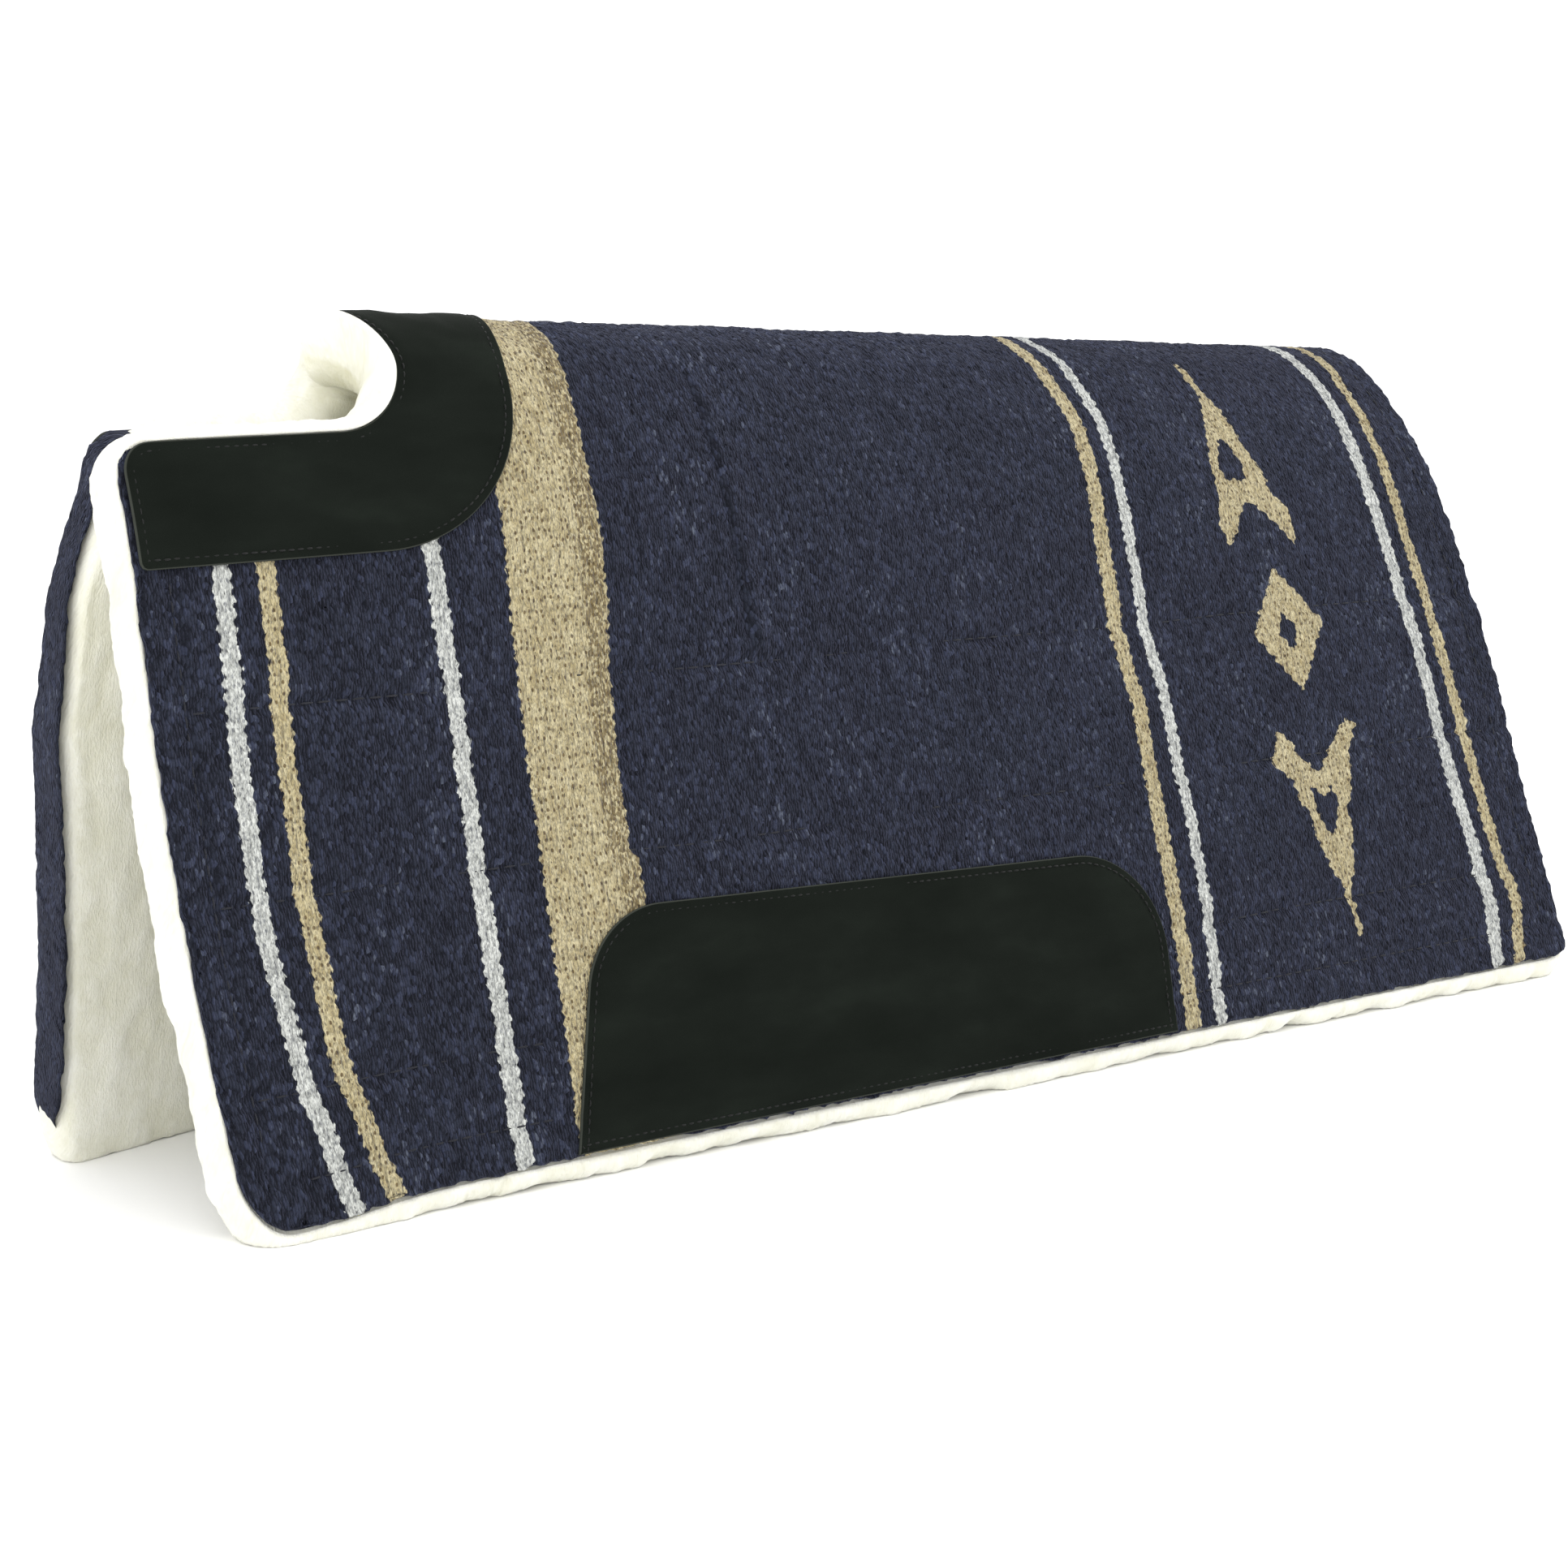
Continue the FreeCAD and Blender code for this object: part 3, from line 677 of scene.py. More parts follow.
def set_camera():
    """A low viewpoint from the front of the near flap."""
    azimuth, elevation, roll = (math.radians(value) for value in CAMERA_TURN)
    back = Vector((math.sin(azimuth) * math.cos(elevation), -math.cos(azimuth) * math.cos(elevation),
                   math.sin(elevation)))
    data = bpy.data.cameras.new("camera")
    data.sensor_width = 36.0
    data.lens = 62.9
    data.clip_end = 30.0
    camera = bpy.data.objects.new("camera", data)
    camera.location = CAMERA_TARGET + back * CAMERA_DISTANCE
    turn = (-back).to_track_quat("-Z", "Y").to_matrix()
    camera.rotation_euler = (turn @ Matrix.Rotation(roll, 3, "Z")).to_euler()
    bpy.context.scene.collection.objects.link(camera)
    bpy.context.scene.camera = camera


def area_light(name, place_at, aim, size, energy):
    data = bpy.data.lights.new(name, "AREA")
    data.shape = "RECTANGLE"
    data.size, data.size_y = size
    data.energy = energy
    light = bpy.data.objects.new(name, data)
    light.location = place_at
    light.rotation_euler = (Vector(aim) - Vector(place_at)).to_track_quat("-Z", "Y").to_euler()
    bpy.context.scene.collection.objects.link(light)


WORLD_STRENGTH = 1.25
FLOOR_REACH = 9.0
MIDDLE, FRONT_MIDDLE = (0, 0, 0.2), (-0.3, 0.05, 0.15)
LIGHTS = [  # name, place, aim, size and power in watts
    ("key", (-0.7, -1.3, 2.3), MIDDLE, (1.8, 1.6), 17),
    ("fill", (1.6, -1.9, 1.3), MIDDLE, (1.8, 1.4), 6),
    ("back", (0.6, 2.2, 1.8), MIDDLE, (2.0, 1.4), 10),
    ("front", (-1.7, -1.6, 0.7), FRONT_MIDDLE, (1.2, 1.0), 4),
]


def set_studio():
    """A white room with soft lights and a pale floor."""
    world = bpy.data.worlds.new("studio")
    world.use_nodes = True
    world.node_tree.nodes["Background"].inputs[0].default_value = (1, 1, 1, 1)
    world.node_tree.nodes["Background"].inputs[1].default_value = WORLD_STRENGTH
    bpy.context.scene.world = world
    bpy.context.scene.view_settings.view_transform = "Standard"
    for light in LIGHTS:
        area_light(*light)
    me = bpy.data.meshes.new("floor")
    corners = [(-1, -1), (1, -1), (1, 1), (-1, 1)]
    me.from_pydata([(a * FLOOR_REACH, b * FLOOR_REACH, 0) for a, b in corners], [], [(0, 1, 2, 3)])
    floor = bpy.data.objects.new("floor", me)
    bpy.context.scene.collection.objects.link(floor)
    finish = bpy.data.materials.new("floor")
    finish.use_nodes = True
    shader = finish.node_tree.nodes["Principled BSDF"]
    shader.inputs["Base Color"].default_value = (0.97, 0.97, 0.97, 1)
    shader.inputs["Roughness"].default_value = 0.9
    me.materials.append(finish)


set_camera()
set_studio()


def bend_with_flap(ob, side_name):
    """Finds the flap's hinge and the flap's downward direction, which is not used, and bakes the half's
    transform into its mesh.
    """
    joint = next(j for j in frame["joints"] if j["name"] == f"{side_name}_flap_bend")
    axis = Vector(joint["axis"]).normalized()
    slope = math.radians((TURNS["front"][1] + TURNS["rear"][1]) / 2)
    down = Vector((0, SIDES[side_name] * math.cos(slope), -math.sin(slope)))
    down = (down - axis * down.dot(axis)).normalized()
    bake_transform(ob)


# ---- the blanket's stripes and motifs
# Each stripe has a width and a centre line of (s, x) points down the flap, in millimetres.
PLAIN_TAN = (42, [(0, -208), (60, -213.5), (300, -214), (415, -217)])
COARSE_TAN = (12, [(0, -183), (12, -185), (80, -189.5), (130, -188.5), (225, -193), (279, -194.5),
                   (284, -190), (415, -189)])
TAN_BANDS = [
    PLAIN_TAN,
    COARSE_TAN,
    (8.5, [(0, -354), (225, -352), (300, -350), (350, -347), (390, -336.5), (415, -330)]),
    (9.5, [(0, 134), (25, 128), (80, 136.5), (150, 130.5), (200, 129), (240, 133), (280, 129.5), (415, 126)]),
    (8.0, [(0, 378), (60, 372), (130, 364.5), (220, 365), (300, 369), (350, 371), (380, 377), (415, 367)]),
]
PALE_BANDS = [
    (8.0, [(0, -373), (225, -373.5), (300, -371), (350, -365), (375, -359), (415, -350)]),
    (8.5, [(0, -272), (130, -271.5), (225, -268), (350, -267), (415, -267.5)]),
    (7.0, [(0, 152), (20, 147), (80, 155), (130, 151), (200, 148.5), (235, 152), (280, 149.5), (325, 150),
           (415, 145)]),
    (9.0, [(0, 356), (40, 349), (60, 351.5), (130, 345), (225, 347.5), (300, 350), (380, 356), (415, 350)]),
]
# Each motif, and each hole in one, is a closed outline of (x, s) points in millimetres.
UPPER_ARROW = [(243, 40), (247, 50), (248.5, 66), (254, 76), (257, 95), (265, 116), (265, 128), (275, 140),
               (275.5, 153), (273.5, 160.5), (258, 143), (250, 136), (244, 133), (240, 136), (231, 152),
               (223.5, 158), (219.5, 147), (225, 128), (225, 117), (230, 98), (236, 84), (243, 65), (242, 50)]
UPPER_HOLE = [(243, 93), (248, 98), (251, 109), (249.5, 121), (245, 122), (241, 119), (235, 122), (233, 112),
              (236, 101)]
DIAMOND = [(251, 173), (278, 206), (251.5, 244), (225.5, 210)]
DIAMOND_HOLE = [(249.5, 198.5), (257.5, 208), (252, 221), (242.5, 211)]
LOWER_ARROW = [(224, 264.5), (232.5, 270), (236, 279), (249.5, 290), (256, 284), (277.5, 262.5),
               (284.5, 265), (276, 281), (271, 302), (265, 313), (264, 328), (259, 347), (255, 354),
               (255.5, 382), (251.5, 382), (250.5, 356), (245, 347), (236, 323), (237, 311), (230.5, 304),
               (228.5, 293), (218, 282)]
LOWER_HOLE = [(240.5, 296), (249.5, 304), (257, 297.5), (260, 307), (256, 318), (250, 326), (244, 319)]
MOTIFS = [UPPER_ARROW, DIAMOND, LOWER_ARROW]
HOLES = [UPPER_HOLE, DIAMOND_HOLE, LOWER_HOLE]


def polygon_distance(x, s, polygon):
    """Signed distance to a polygon, positive inside."""
    polygon = np.array(polygon, float) * MM
    best = np.full(len(x), 1.0)
    for a, b in zip(polygon, np.roll(polygon, -1, axis=0)):
        d = b - a
        t = np.clip(((x - a[0]) * d[0] + (s - a[1]) * d[1]) / (d @ d), 0, 1)
        best = np.minimum(best, np.hypot(x - a[0] - t * d[0], s - a[1] - t * d[1]))
    within = inside(np.stack([x, s], axis=1), polygon)
    return np.where(within, best, -best)


def band_distance(x, s, bands):
    """Signed distance to the nearest stripe's edge, positive inside."""
    best = np.full(len(x), -1.0)
    for width, line in bands:
        along, across = (np.array(values) * MM for values in zip(*line))
        best = np.maximum(best, width * MM / 2 - np.abs(x - np.interp(s, along, across)))
    return best


def pattern(x, s):
    """Signed distances, positive inside, to the tan, the coarse tan and the pale parts of the weave."""
    x = x + lean_at(FRONT_LEAN, x, s)
    wander = waves(s, x, 0.5, 30, 40, 21) + waves(s, x, 0.6, 9, 14, 22)
    tan = band_distance(x + wander, s, TAN_BANDS)
    step = waves(s, x, 0.9, 3.6, 3.0, 23)
    for shape in MOTIFS:
        tan = np.maximum(tan, polygon_distance(x, s, shape) + step)
    for shape in HOLES:
        tan = np.minimum(tan, step - polygon_distance(x, s, shape))
    return tan, band_distance(x, s, [COARSE_TAN]), band_distance(x + wander, s, PALE_BANDS)


# ---- materials
# Colours are sRGB from 0 to 255, as (position on the ramp, colour).
NAVY = [(0.0, (6, 7, 9)), (0.25, (15, 17, 22)), (0.5, (29, 32, 40)), (0.68, (40, 44, 56)),
        (0.84, (50, 55, 73)), (0.95, (92, 98, 110))]
TAN = [(0.0, (136, 120, 84)), (0.4, (176, 163, 124)), (0.75, (198, 187, 150)), (1.0, (216, 207, 176))]
PALE = [(0.0, (140, 142, 138)), (0.4, (190, 192, 186)), (1.0, (224, 226, 220))]
WOOL = [(0.0, (206, 204, 188)), (0.4, (234, 233, 222)), (1.0, (245, 245, 238))]
NAP = [(0.25, (13, 17, 13)), (0.55, (19, 23, 19)), (0.8, (27, 32, 27))]
LINT = [(0.2, (196, 192, 176)), (0.8, (228, 226, 214))]
# The last colour here is painted shade for the gaps between the weft's knobs.
TAN_HOLE, PALE_HOLE, COARSE_FLECK, GAP_SHADE_PAINT = (92, 74, 42), (96, 100, 108), (104, 88, 54), (10, 11, 15)
# The first colour here is painted shade for the fleece: warmer, darker wool between its clumps and in the
# hollow under the notch.
WOOL_SHADE_PAINT, CUT_EDGE = (206, 203, 170), (92, 95, 88)
WEFT_WIDTH, WEFT_LENGTH = 1.3 * MM, 3.3 * MM
BEAD_LENGTH, BEAD_RISE = 5.8 * MM, 2.4 * MM  # how a stripe's edge bulges bead by bead


def woven():
    """Knobby hand-woven wool: thick soft weft over a hidden warp."""
    finish = Finish("woven_wool", 0.93, 0.1, 0.22, linear((150, 155, 190)), 0.6)
    down = finish.down()
    shape, tone = finish.cells(WEFT_WIDTH, WEFT_LENGTH)
    fine, speck = finish.cells(0.8 * MM, 1.7 * MM)
    cloud = finish.noise(38 * MM, 60 * MM, 3)
    fibre = finish.noise(0.5 * MM, 2.2 * MM, 2)
    bead = ((down * (1 / BEAD_LENGTH)).mod(1.0) - 0.5).node("ABSOLUTE") * BEAD_RISE
    jag = bead + tone * (1.2 * MM) - 1.1 * MM
    tan_side = (finish.attribute("tan_edge") + jag).above(0.0, 0.5 * MM)
    pale_side = (finish.attribute("pale_edge") + jag).above(0.0, 0.5 * MM)
    navy = finish.ramp(tone * 0.72 + cloud * 0.35 + fibre * 0.2 - 0.13, NAVY)
    dot, dot_tone = finish.cells(3.1 * MM, 4.6 * MM, 0.55)
    hole = (dot * -1.0 + 1.0).above(0.80, 0.10) * dot_tone.above(0.35, 0.2)
    tan = finish.ramp(tone * 0.5 + cloud * 0.25 + fibre * 0.35 - 0.05, TAN)
    tan = finish.mix(hole * 0.85, tan, TAN_HOLE)
    brown = speck.above(0.45, 0.25) * finish.attribute("coarse_edge").above(0.0, 1.5 * MM)
    tan = finish.mix(brown * 0.75, tan, COARSE_FLECK)
    pale = finish.ramp(tone * 0.6 + fibre * 0.4, PALE)
    pale = finish.mix(hole * 0.45, pale, PALE_HOLE)
    cloth = finish.mix(pale_side, finish.mix(tan_side, navy, tan), pale)
    coloured = (tan_side + pale_side).node("MINIMUM", 1.0)
    # Painted shade: the cloth is darkened in the gaps between the weft's knobs, less so on the stripes.
    painted_recess_shade = shape.above(0.58, 0.45) * (coloured * -0.45 + 0.8)
    finish.colour(finish.mix(painted_recess_shade, cloth, GAP_SHADE_PAINT))
    low = finish.bump(shape * -1.0, 1.6 * MM, 1.0)
    finish.normal(finish.bump(fine * -1.0 + fibre * 0.5, 0.45 * MM, 0.7, low))
    return finish


def fleecy():
    """Soft pile, with painted shade: darker and warmer down between its clumps and in the hollow under the
    notch.
    """
    finish = Finish("fleece", 0.95, 0.08, 0.3, linear((255, 255, 250)), 0.5)
    finish.shader.inputs["Subsurface Weight"].default_value = 0.25
    finish.shader.inputs["Subsurface Radius"].default_value = (3 * MM, 3 * MM, 2.6 * MM)
    finish.shader.inputs["Subsurface Scale"].default_value = 1.0
    clump = finish.noise(7 * MM, 12 * MM, 3)
    strand = finish.noise(0.9 * MM, 2.6 * MM, 3)
    wool = finish.ramp(clump * 0.6 + strand * 0.55 - 0.05, WOOL)
    # Painted shade, from the mask that the fleece's mesh carries.
    finish.colour(finish.mix(finish.attribute("painted_recess_shade") * 0.8, wool, WOOL_SHADE_PAINT))
    low = finish.bump(clump, 1.5 * MM, 0.4)
    finish.normal(finish.bump(strand, 0.7 * MM, 0.7, low))
    return finish


def suede():
    """Black suede: a short matt nap with faint brushing."""
    finish = Finish("suede", 0.96, 0.08, 0.05, linear((120, 128, 118)), 0.55)
    nap = finish.noise(0.45 * MM, 0.45 * MM, 3)
    brushed = finish.noise(60 * MM, 25 * MM, 3)
    body = finish.ramp(brushed * 0.7 + nap * 0.3, NAP)
    edge = (finish.attribute("rim") * -1.0 + 0.6 * MM).above(0.0, 0.4 * MM)
    finish.colour(finish.mix(edge * 0.35, body, CUT_EDGE))
    low = finish.bump(brushed, 1.0 * MM, 0.15)
    finish.normal(finish.bump(nap, 0.22 * MM, 0.6, low))
    return finish


def thread(name, colour, dark):
    """Twisted sewing thread."""
    finish = Finish(name, 0.7, 0.3, sheen=0.1)
    twist = finish.noise(0.5 * MM, 0.5 * MM, 2)
    finish.colour(finish.ramp(twist, [(0.3, dark), (0.7, colour)]))
    finish.normal(finish.bump(twist, 0.15 * MM, 0.6))
    return finish


def felt():
    """The filler's pressed wool."""
    finish = Finish("felt", 0.97, 0.1)
    lint = finish.noise(2 * MM, 2 * MM, 4)
    finish.colour(finish.ramp(lint, LINT))
    finish.normal(finish.bump(lint, 0.8 * MM, 0.8))
    return finish


WOVEN = woven()
FLEECE = fleecy()
SUEDE = suede()
FELT = felt()
LEATHER_THREAD = thread("leather_thread", (12, 14, 12), (6, 7, 6))
BLANKET_THREAD = thread("blanket_thread", (34, 36, 46), (14, 15, 20))


# ---- finishing a piece
def dressed(ob, nodes, side_name, blended=True):
    """Bakes a blended piece's transform into its mesh or hangs another on its flap's body, and hides the CAD
    nodes it stands for.
    """
    if blended:
        bend_with_flap(ob, side_name)
    else:
        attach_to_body(ob, f"{side_name}_flap")
    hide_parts(*nodes)
    return ob


def both_nodes(side_name, layer):
    """The CAD nodes of a layer that runs from the spine over one flap."""
    return [f"spine_{layer}", f"{side_name}_{layer}"]


# ---- the border's parts
HEM_BAND = 12 * MM  # how far above the hem the border counts as hem
SOFTNESS = 12.0  # points over which one part turns into the next


def step_up(order, at, sharpness=3):
    """From 0 to 1 along the border, halfway at one point."""
    return 1 / (1 + np.exp(-(order - at) / SOFTNESS * sharpness))


def front_start(border):
    return int(np.argmax(border[:, 0] < -HALF_LENGTH + 0.5 * MM))


def part_of_border(border):
    """Weights of the border's points for the notch, the front edge and the hem."""
    low = border[:, 1] > DROP - HEM_BAND
    order = np.arange(len(border))
    first_front = front_start(border)
    hem_start = int(np.argmax(low & (order > first_front)))
    hem_end = int(np.flatnonzero(low)[-1])
    notch = 1 - step_up(order, first_front - 8, 4)
    front = step_up(order, first_front) * (1 - step_up(order, hem_start))
    hem = step_up(order, hem_start) * (1 - step_up(order, hem_end))
    return notch, front, hem


FOLD_LEAD, FOLD_FADE = 34 * MM, 5 * MM


def folded_front(border, step, side):
    """Weight of the far flap's front edge, from just before its top corner down to its foot."""
    if side < 0:
        return np.zeros(len(border))
    order = np.arange(len(border))
    hem = part_of_border(border)[2]
    past = (order - front_start(border)) * step + FOLD_LEAD
    return (1 - hem) * (order < len(border) / 2) / (1 + np.exp(-past / FOLD_FADE))


# ---- blanket
BLANKET_STEP = 2.2 * MM
BLANKET_DEPTH = 4.0 * MM
FOOT_RADIUS, REAR_RADIUS = 25 * MM, 8 * MM
WRAP = [(95, 23), (150, 27), (230, 35)]  # (s, how deep the far front edge is wrapped), in mm
WRAP_RISE = 2.8 * MM


def blanket_rings(border, fold):
    """The blanket's edge: a round one, but where it folds right over the front of the far flap."""
    down, deep = (np.array(values) * MM for values in zip(*WRAP))
    wrap = np.interp(border[:, 1], down, deep)
    half = 8
    rings = []
    for k in range(2 * half + 1):
        angle = math.pi * k / (2 * half)
        plain_in = BLANKET_DEPTH / 2 * (1 - math.sin(angle))
        plain_depth = BLANKET_DEPTH / 2 * (1 - math.cos(angle))
        share = min(k / half, 1.0)
        back = max(0.0, (k - half) / half)
        wrapped_in = -WRAP_RISE * math.sin(share * math.pi / 2) + back * BLANKET_DEPTH
        wrapped_depth = wrap * (share ** 1.4) * (1 - back) + back * BLANKET_DEPTH
        rings.append((plain_in * (1 - fold) + wrapped_in * fold,
                      plain_depth * (1 - fold) + wrapped_depth * fold))
    return rings


def weave_relief(x, t):
    """Knobs of the thick weft."""
    knob = 0.9 * MM * (knobs(x / (2.7 * MM), t / (4.6 * MM), 31) - 0.5)
    return knob + waves(x, t, 0.6, 2.2, 3.8, 32) + waves(x, t, 0.45, 8, 14, 33)


def make_blanket(side_name):
    side = SIDES[side_name]
    border = pad_border(BLANKET_STEP, FOOT_RADIUS, REAR_RADIUS, DROP)
    fold = folded_front(border, BLANKET_STEP, side)
    rings = blanket_rings(border, fold)
    x, s, depth, faces, top, sharp = slab(border, rings, (1.6 * MM, 2.5 * MM), (9 * MM, 9 * MM))
    t = s * side
    is_top = np.zeros(len(x), bool)
    is_top[top] = True
    rim = depth < 3.0 * MM
    tan, coarse, pale = pattern(x, s)
    firm = np.where((tan > 0) | (pale > 0), 0.4, 1.0)
    rise = swell(x, s, side) - creases(x, s) * firm + pleat(x, s, side)
    leather = under_leather(x, s)
    rise = np.where(leather, np.minimum(rise, 1.0 * MM) - 0.4 * MM, rise)
    out = rise + np.where(rim & ~leather, weave_relief(x, t), 0.0)
    across = x - depth
    wavy = waves(across, t, 1.2, 3.0, 3.4, 34) + waves(across, t, 0.8, 7, 8, 35)
    on_border = ~is_top & (rim | (x < 6 * MM - HALF_LENGTH))
    moved_x = x + np.where(on_border, wavy * 0.6, 0)
    moved_s = s + np.where(on_border & (s > 5 * MM), wavy * 0.7, 0)
    points = place_half(moved_x, moved_s, depth - out, side)
    ob = build(f"blanket_{side_name}", points, faces, WOVEN, np.stack([across, t], axis=1), sharp)
    attach(ob, "tan_edge", tan)
    attach(ob, "coarse_edge", coarse)
    attach(ob, "pale_edge", pale)
    return dressed(ob, both_nodes(side_name, "blanket"), side_name)


def under_leather(x, s):
    """Which places of the face are well under a leather."""
    result = np.zeros(len(x), bool)
    for outline in LEATHER_AREAS:
        result |= inside(np.stack([x, s], axis=1), outline)
    return result


# ---- leathers
STEP_FINE = 2.0 * MM
WEAR_FOOT_POINTS = 177  # along its foot, about 2 mm apart
LEATHER_INSET = 0.2 * MM
WITHER_RADIUS = 80 * MM
WITHER_LEAN = 10.5 * MM  # how far its rear edge runs back near the ridge
LEATHER_LIFT, LEATHER_THICK = 2.2 * MM, 2.0 * MM


def wither_path():
    """Free border of the wither leather: notch edge, front, base, rear, from ridge to ridge."""
    back, edge = NOTCH_BACK + LEATHER_INSET, NOTCH_EDGE - LEATHER_INSET
    notch = side_path([(back, ridge_height(back), 0), (back, edge, 35 * MM), (WITHER_FRONT, edge, 13 * MM),
                       (WITHER_FRONT, edge - 24 * MM, 0)], STEP_FINE)
    notch[0, 1] = 0.0
    notch = rounded_notch(notch)
    rest = side_path([(WITHER_FRONT, edge - 24 * MM, 0), (WITHER_FRONT, WITHER_BASE, 3 * MM),
                      (WITHER_REAR, WITHER_BASE, WITHER_RADIUS),
                      (WITHER_REAR, ridge_height(WITHER_REAR), 0)], STEP_FINE)
    rest[-1, 1] = 0.0
    path = np.concatenate([notch[:-1], rest])
    s = path[:, 1]
    lean = WITHER_LEAN * np.clip(1 - s / (50 * MM), 0, 1) ** 1.3
    path[:, 0] += np.where(np.arange(len(s)) > len(s) / 2, lean, 0.0)
    return path


def wear_path():
    """Closed border of a wear leather."""
    corners = [(-241.0, 14, 0), (-213.5, 120.5, 44), (120.5, 107, 50), (112.5, 14, 0)]
    corners = [(x * MM, z * MM, radius * MM) for x, z, radius in corners]
    path = side_path(corners, STEP_FINE)[::-1]
    foot = np.linspace(path[-1], path[0], WEAR_FOOT_POINTS)
    return np.concatenate([path, foot[1:]])


def closed_area(path):
    """The path as a closed one: its first point comes once more at its end."""
    return path if np.allclose(path[0], path[-1]) else np.concatenate([path, [path[0]]])


LEATHER_AREAS = [closed_area(wither_path())[:-1], wear_path()[:-1]]


def distance_to(x, s, path):
    """Distance from each place to a path's nearest point."""
    tree = KDTree(len(path))
    for index, (px, ps) in enumerate(path):
        tree.insert((px, ps, 0), index)
    tree.balance()
    return np.array([tree.find((a, b, 0))[2] for a, b in zip(x, s)])


def make_leather(name, side_name, path, nodes, blended):
    """A suede patch, a little proud of the blanket, with a dent along its stitches."""
    side = SIDES[side_name]
    turns = [math.pi * k / 4 for k in range(5)]
    rings = [(0.8 * MM * (1 - math.sin(turn)), LEATHER_THICK / 2 * (1 - math.cos(turn)) - LEATHER_LIFT)
             for turn in turns]
    x, s, depth, faces, top, sharp = slab(path, rings, (2.6 * MM, 2.6 * MM), (9 * MM, 9 * MM))
    edge = distance_to(x, s, path)
    t = s * side
    rise = np.minimum(swell(x, s, side) - 0.35 * creases(x, s), 1.0 * MM) * np.clip(edge / (6 * MM), 0.7, 1)
    stitch_dip = 0.7 * MM * hill(edge - STITCH_INSET, 1.1 * MM)
    soft = waves(x, t, 0.5, 22, 22, 41) + waves(x, t, 0.25, 7, 7, 42)
    out = rise + np.clip(edge / (4 * MM), 0, 1) * soft - stitch_dip
    points = place_half(x, s, depth - np.where(depth < -1.2 * MM, out, rise), side)
    ob = build(f"{name}_{side_name}", points, faces, SUEDE, np.stack([x, t], axis=1), sharp)
    attach(ob, "rim", edge)
    return dressed(ob, nodes, side_name, blended)


# ---- stitching
STITCH_INSET = 4.0 * MM
STITCH_PROFILE = [(0.0, 0.25), (0.18, 0.85), (0.5, 1.0), (0.82, 0.85), (1.0, 0.25)]  # (along, width)
SPOKES = 6
# Each thread has its finish, slot, and the length, gap, radius and depth of its stitches.
LEATHER_STITCH = (LEATHER_THREAD, "leather_thread", 3.0 * MM, 1.2 * MM, 0.42 * MM, -2.0 * MM)
QUILT_STITCH = (BLANKET_THREAD, "blanket_thread", 6.0 * MM, 2.0 * MM, 0.45 * MM, 1.3 * MM)
SEAM_STITCH = (BLANKET_THREAD, "blanket_thread", 5.0 * MM, 2.0 * MM, 0.45 * MM, 0.5 * MM)


def unit_rows(vectors):
    return vectors / np.linalg.norm(vectors, axis=1)[:, None]


def stitch_run(path, length, gap, radius, depth, side, seed, skip):
    """A row of separate stitches along a path of places: closed rounded threads."""
    gaps = np.linalg.norm(np.diff(path, axis=0), axis=1)
    along = np.concatenate([[0.0], np.cumsum(gaps)])
    pitch = length + gap
    count = int(along[-1] / pitch)
    shares = np.array([share for share, _ in STITCH_PROFILE])
    points, faces, uv = [], [], []
    for n in range(count):
        here = (along[-1] - count * pitch) / 2 + n * pitch + shares * length
        px = np.interp(here, along, path[:, 0])
        ps = np.interp(here, along, path[:, 1])
        if skip is not None and skip(px.mean()):
            continue
        lift = depth + 0.9 * radius * (1 - np.sin(shares * math.pi)) - swell(px, ps, side)
        lean = 0.25 * radius * (hashed(n, seed, 7) - 0.5)
        middle = place(px, ps, lift, side)
        out_by = unit_rows(place(px, ps, lift - 0.1 * MM, side) - middle)
        side_by = unit_rows(np.cross(unit_rows(np.gradient(middle, axis=0)), out_by))
        base = len(points)
        for k, (_, width) in enumerate(STITCH_PROFILE):
            for spoke in range(SPOKES):
                angle = 2 * math.pi * spoke / SPOKES
                reach = side_by[k] * math.cos(angle) + out_by[k] * math.sin(angle)
                points.append(middle[k] + reach * radius * width + side_by[k] * lean)
                uv.append((px[k] + spoke * MM, ps[k]))
        for k in range(len(STITCH_PROFILE) - 1):
            for spoke in range(SPOKES):
                a = base + k * SPOKES + spoke
                b = base + k * SPOKES + (spoke + 1) % SPOKES
                faces.append((a, b, b + SPOKES, a + SPOKES))
        last = base + (len(STITCH_PROFILE) - 1) * SPOKES
        faces.append(tuple(range(base, base + SPOKES))[::-1])
        faces.append(tuple(range(last, last + SPOKES)))
    return points, faces, uv


def make_stitches(name, side_name, paths, stitch, nodes, blended, skip=None):
    """All stitches of one seam, as one piece; skip says where along x there are none."""
    finish, slot, *measures = stitch
    points, faces, uv = [], [], []
    for index, path in enumerate(paths):
        more_points, more_faces, more_uv = stitch_run(path, *measures, SIDES[side_name], index, skip)
        faces += [tuple(i + len(points) for i in face) for face in more_faces]
        points += more_points
        uv += more_uv
    ob = build(f"{name}_{side_name}", points, faces, finish, np.array(uv))
    return dressed(ob, nodes, side_name, blended)


def inset_path(path, inset):
    """The path moved into its area."""
    return path + normals_of(path) * inset


def straight(start, end, count):
    """A straight row of places."""
    return np.linspace(start, end, count)


def seam_paths():
    """The seam round the edge: front, both sides of the wear leather, and rear."""
    x = HALF_LENGTH - SEAM_INSET
    base = DROP - SEAM_RISE
    clear, turn, bend = 4 * MM, 16 * MM, 6 * MM
    return [straight((-x, 142 * MM), (-x, base - turn), 60),
            straight((-x + turn, base), (WEAR_FRONT - clear, base), 60),
            straight((WEAR_REAR + clear, base), (x - bend, base), 90),
            straight((x, base - bend), (x, 2 * MM), 160)]


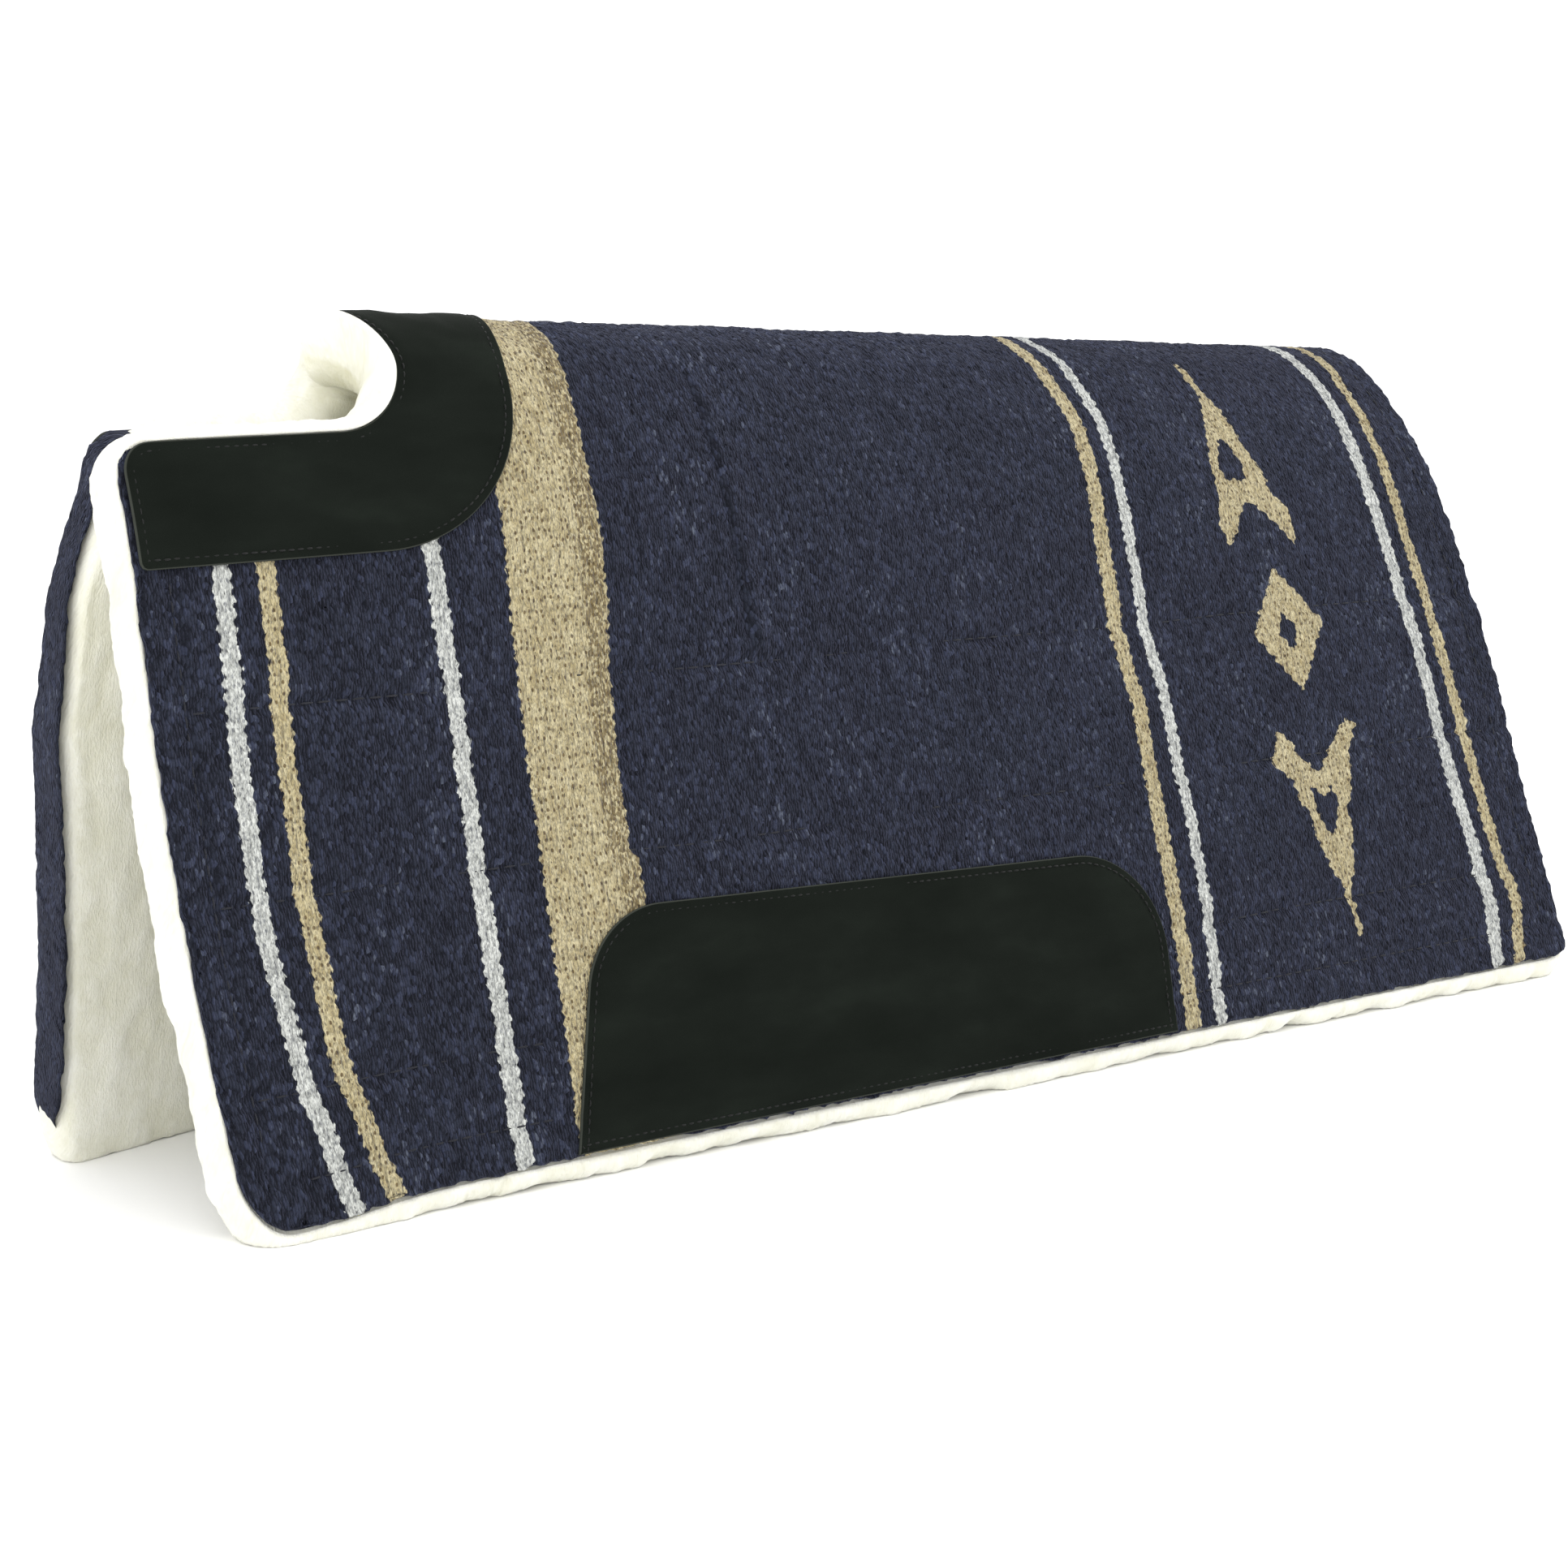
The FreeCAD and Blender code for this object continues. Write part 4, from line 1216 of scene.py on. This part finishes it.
def on_wear_leather(x):
    return WEAR_FRONT - 4 * MM < x < WEAR_REAR + 4 * MM


# ---- fleece and filler
FLEECE_FOOT = 32.4 * MM
INNER_SWELL = 0.8  # share of the blanket's unevenness that reaches inside


def pile_relief(x, t, depth):
    """Soft clumps of pile on the lining, up to about 1.5 mm either way."""
    u, v = x + 0.6 * depth, t + 0.8 * depth
    clumps = waves(u, v, 0.5, 5, 8, 52) + 0.4 * MM * knobs(u / (3.4 * MM), v / (4.4 * MM), 53)
    return waves(u, v, 0.8, 12, 26, 51) + clumps + waves(u, v, 0.4, 1.8, 2.2, 54)


def swollen(ob, height):
    """Moves each point along its normal by its height; the cut faces on the ridge stay on it."""
    me = ob.data
    place_at = np.zeros(3 * len(me.vertices))
    normal = np.zeros(3 * len(me.vertices))
    me.vertices.foreach_get("co", place_at)
    me.vertices.foreach_get("normal", normal)
    place_at, normal = place_at.reshape(-1, 3), normal.reshape(-1, 3)
    on_ridge = np.abs(place_at[:, 1]) < 1e-7
    place_at += normal * height[:, None]
    place_at[on_ridge, 1] = 0.0
    place_at[:, 2] = np.maximum(place_at[:, 2], FLOOR)
    me.vertices.foreach_set("co", place_at.ravel())
    me.update()


FLEECE_STEP = 1.9 * MM
LIP_RINGS = 21
# (step inside the border, depth) of the fleece's hidden base, from its top to under the blanket's edge
FLEECE_BASE = [(9, 16.5), (4.7, 16.2), (4.4, 10), (4.2, 4.5)]
FILLER_RINGS = [(6.5, 4.4), (5.6, 4.7), (5.2, 6.5), (5.2, 14), (5.6, 15.8), (6.5, 16.1)]
FOLD_REACH, FOLD_TOP = 6 * MM, 92 * MM
# Where along x the painted shade in the hollow under the notch lies, and how far it reaches.
HOLLOW_AT, HOLLOW_REACH = -250 * MM, 42 * MM


def in_metres(rings):
    return [(inset * MM, depth * MM) for inset, depth in rings]


def fleece_rings(border, side):
    """The fleece's edge: a soft irregular roll, thick round the notch and flat where the blanket folds."""
    notch, front, hem = part_of_border(border)
    fold = folded_front(border, FLEECE_STEP, side)
    order = np.arange(len(border)) * 1.9 / 2.6  # in cells of 2.6 mm along the border
    level = order * 0.0
    uneven = 1.2 * MM * noise(order / 9.0, level, 61) + 0.9 * MM * noise(order / 3.2, level, 62)
    uneven = uneven * (1 - 0.6 * notch) + hem * 2.4 * MM * noise(order / 6.0, level, 63)
    bulge = 1.5 * MM + 6.5 * MM * notch + 1.5 * MM * front + 6.5 * MM * hem + uneven
    bulge = bulge * (1 - fold) + fold * 0.3 * MM
    cover = 4.4 * MM - 7.6 * MM * notch * (1 - fold) - 2.0 * MM * hem
    lip = -0.3 * MM * notch + 1.6 * MM * (1 - notch) + 1.4 * MM * fold
    rings = in_metres(FLEECE_BASE) + [(lip, 4.4 * MM)]
    for k in range(LIP_RINGS):
        angle = math.pi * k / (LIP_RINGS - 1)
        around = math.sin(angle) ** 0.75
        base = lip if angle < math.pi / 2 else 7.0 * MM
        rings.append((base * (1 - around) - bulge * around,
                      cover + (FLEECE_FOOT - cover) * (1 - math.cos(angle)) / 2))
    return rings


def make_fleece(side_name):
    side = SIDES[side_name]
    border = pad_border(FLEECE_STEP, 24 * MM, 16 * MM, DROP + 3 * MM)
    x, s, depth, faces, top, sharp = slab(border, fleece_rings(border, side), (10 * MM, 10 * MM),
                                          (2.8 * MM, 3.6 * MM))
    hidden = np.zeros(len(x), bool)
    hidden[top] = True
    hidden[:(len(FLEECE_BASE) + 2) * len(border)] = True
    t = s * side
    points = place_half(x, s, depth - swell(x, s, side) * INNER_SWELL, side)
    ob = build(f"fleece_{side_name}", points, faces, FLEECE, np.stack([x, t + depth], axis=1), sharp)
    relief = pile_relief(x, t, depth)
    folded = (side > 0) & (x < -HALF_LENGTH + FOLD_REACH) & (s > FOLD_TOP)
    swollen(ob, np.where(hidden | folded, 0.0, relief))
    # Painted shade: darker, warmer pile down between the clumps and deep in the hollow under the notch.
    hollow_shade = hill(x - HOLLOW_AT, HOLLOW_REACH) * np.clip(1.3 - s / (75 * MM), 0, 1)
    painted_recess_shade = np.clip(0.5 - relief / (2.2 * MM), 0, 1) * 0.5 + hollow_shade * (depth > 20 * MM)
    attach(ob, "painted_recess_shade", np.clip(painted_recess_shade, 0, 1) * ~hidden)
    dressed(ob, both_nodes(side_name, "fleece"), side_name)


def make_filler(side_name):
    side = SIDES[side_name]
    border = pad_border(5 * MM, 15 * MM, 9 * MM, DROP - 1 * MM)
    coarse = (8 * MM, 8 * MM)
    x, s, depth, faces, top, sharp = slab(border, in_metres(FILLER_RINGS), coarse, coarse)
    points = place_half(x, s, depth - swell(x, s, side) * INNER_SWELL, side)
    ob = build(f"filler_{side_name}", points, faces, FELT, np.stack([x, s * side], axis=1), sharp)
    dressed(ob, both_nodes(side_name, "filler"), side_name)


# ---- everything together
for side_name in SIDES:
    blanket = make_blanket(side_name)
    make_filler(side_name)
    make_fleece(side_name)
    wither = make_leather("wither_leather", side_name, wither_path(),
                          both_nodes(side_name, "wither_leather"), True)
    wear = make_leather("wear_leather", side_name, wear_path(), [f"{side_name}_wear_leather"], False)
    wither_line = inset_path(wither_path(), STITCH_INSET)
    wither_line = wither_line[(wither_line[:, 1] > 0.5 * MM) | (np.arange(len(wither_line)) > 20)]
    make_stitches("wither_stitching", side_name, [wither_line], LEATHER_STITCH,
                  both_nodes(side_name, "wither_stitching"), True)
    make_stitches("wear_stitching", side_name, [inset_path(wear_path(), STITCH_INSET)], LEATHER_STITCH,
                  [f"{side_name}_wear_stitching"], False)
    for order, row in zip(("first", "second", "third"), QUILT_ROWS):
        xs = np.arange(-HALF_LENGTH + 17 * MM, HALF_LENGTH - 17 * MM, 4 * MM)
        line = np.stack([xs, row_line(row, xs)], axis=1)
        make_stitches(f"quilting_{order}", side_name, [line], QUILT_STITCH,
                      [f"{side_name}_quilt_row_{order}"], False, on_wear_leather if row > WEAR_TOP else None)
    make_stitches("edge_seam", side_name, seam_paths(), SEAM_STITCH, both_nodes(side_name, "edge_seam"), True)
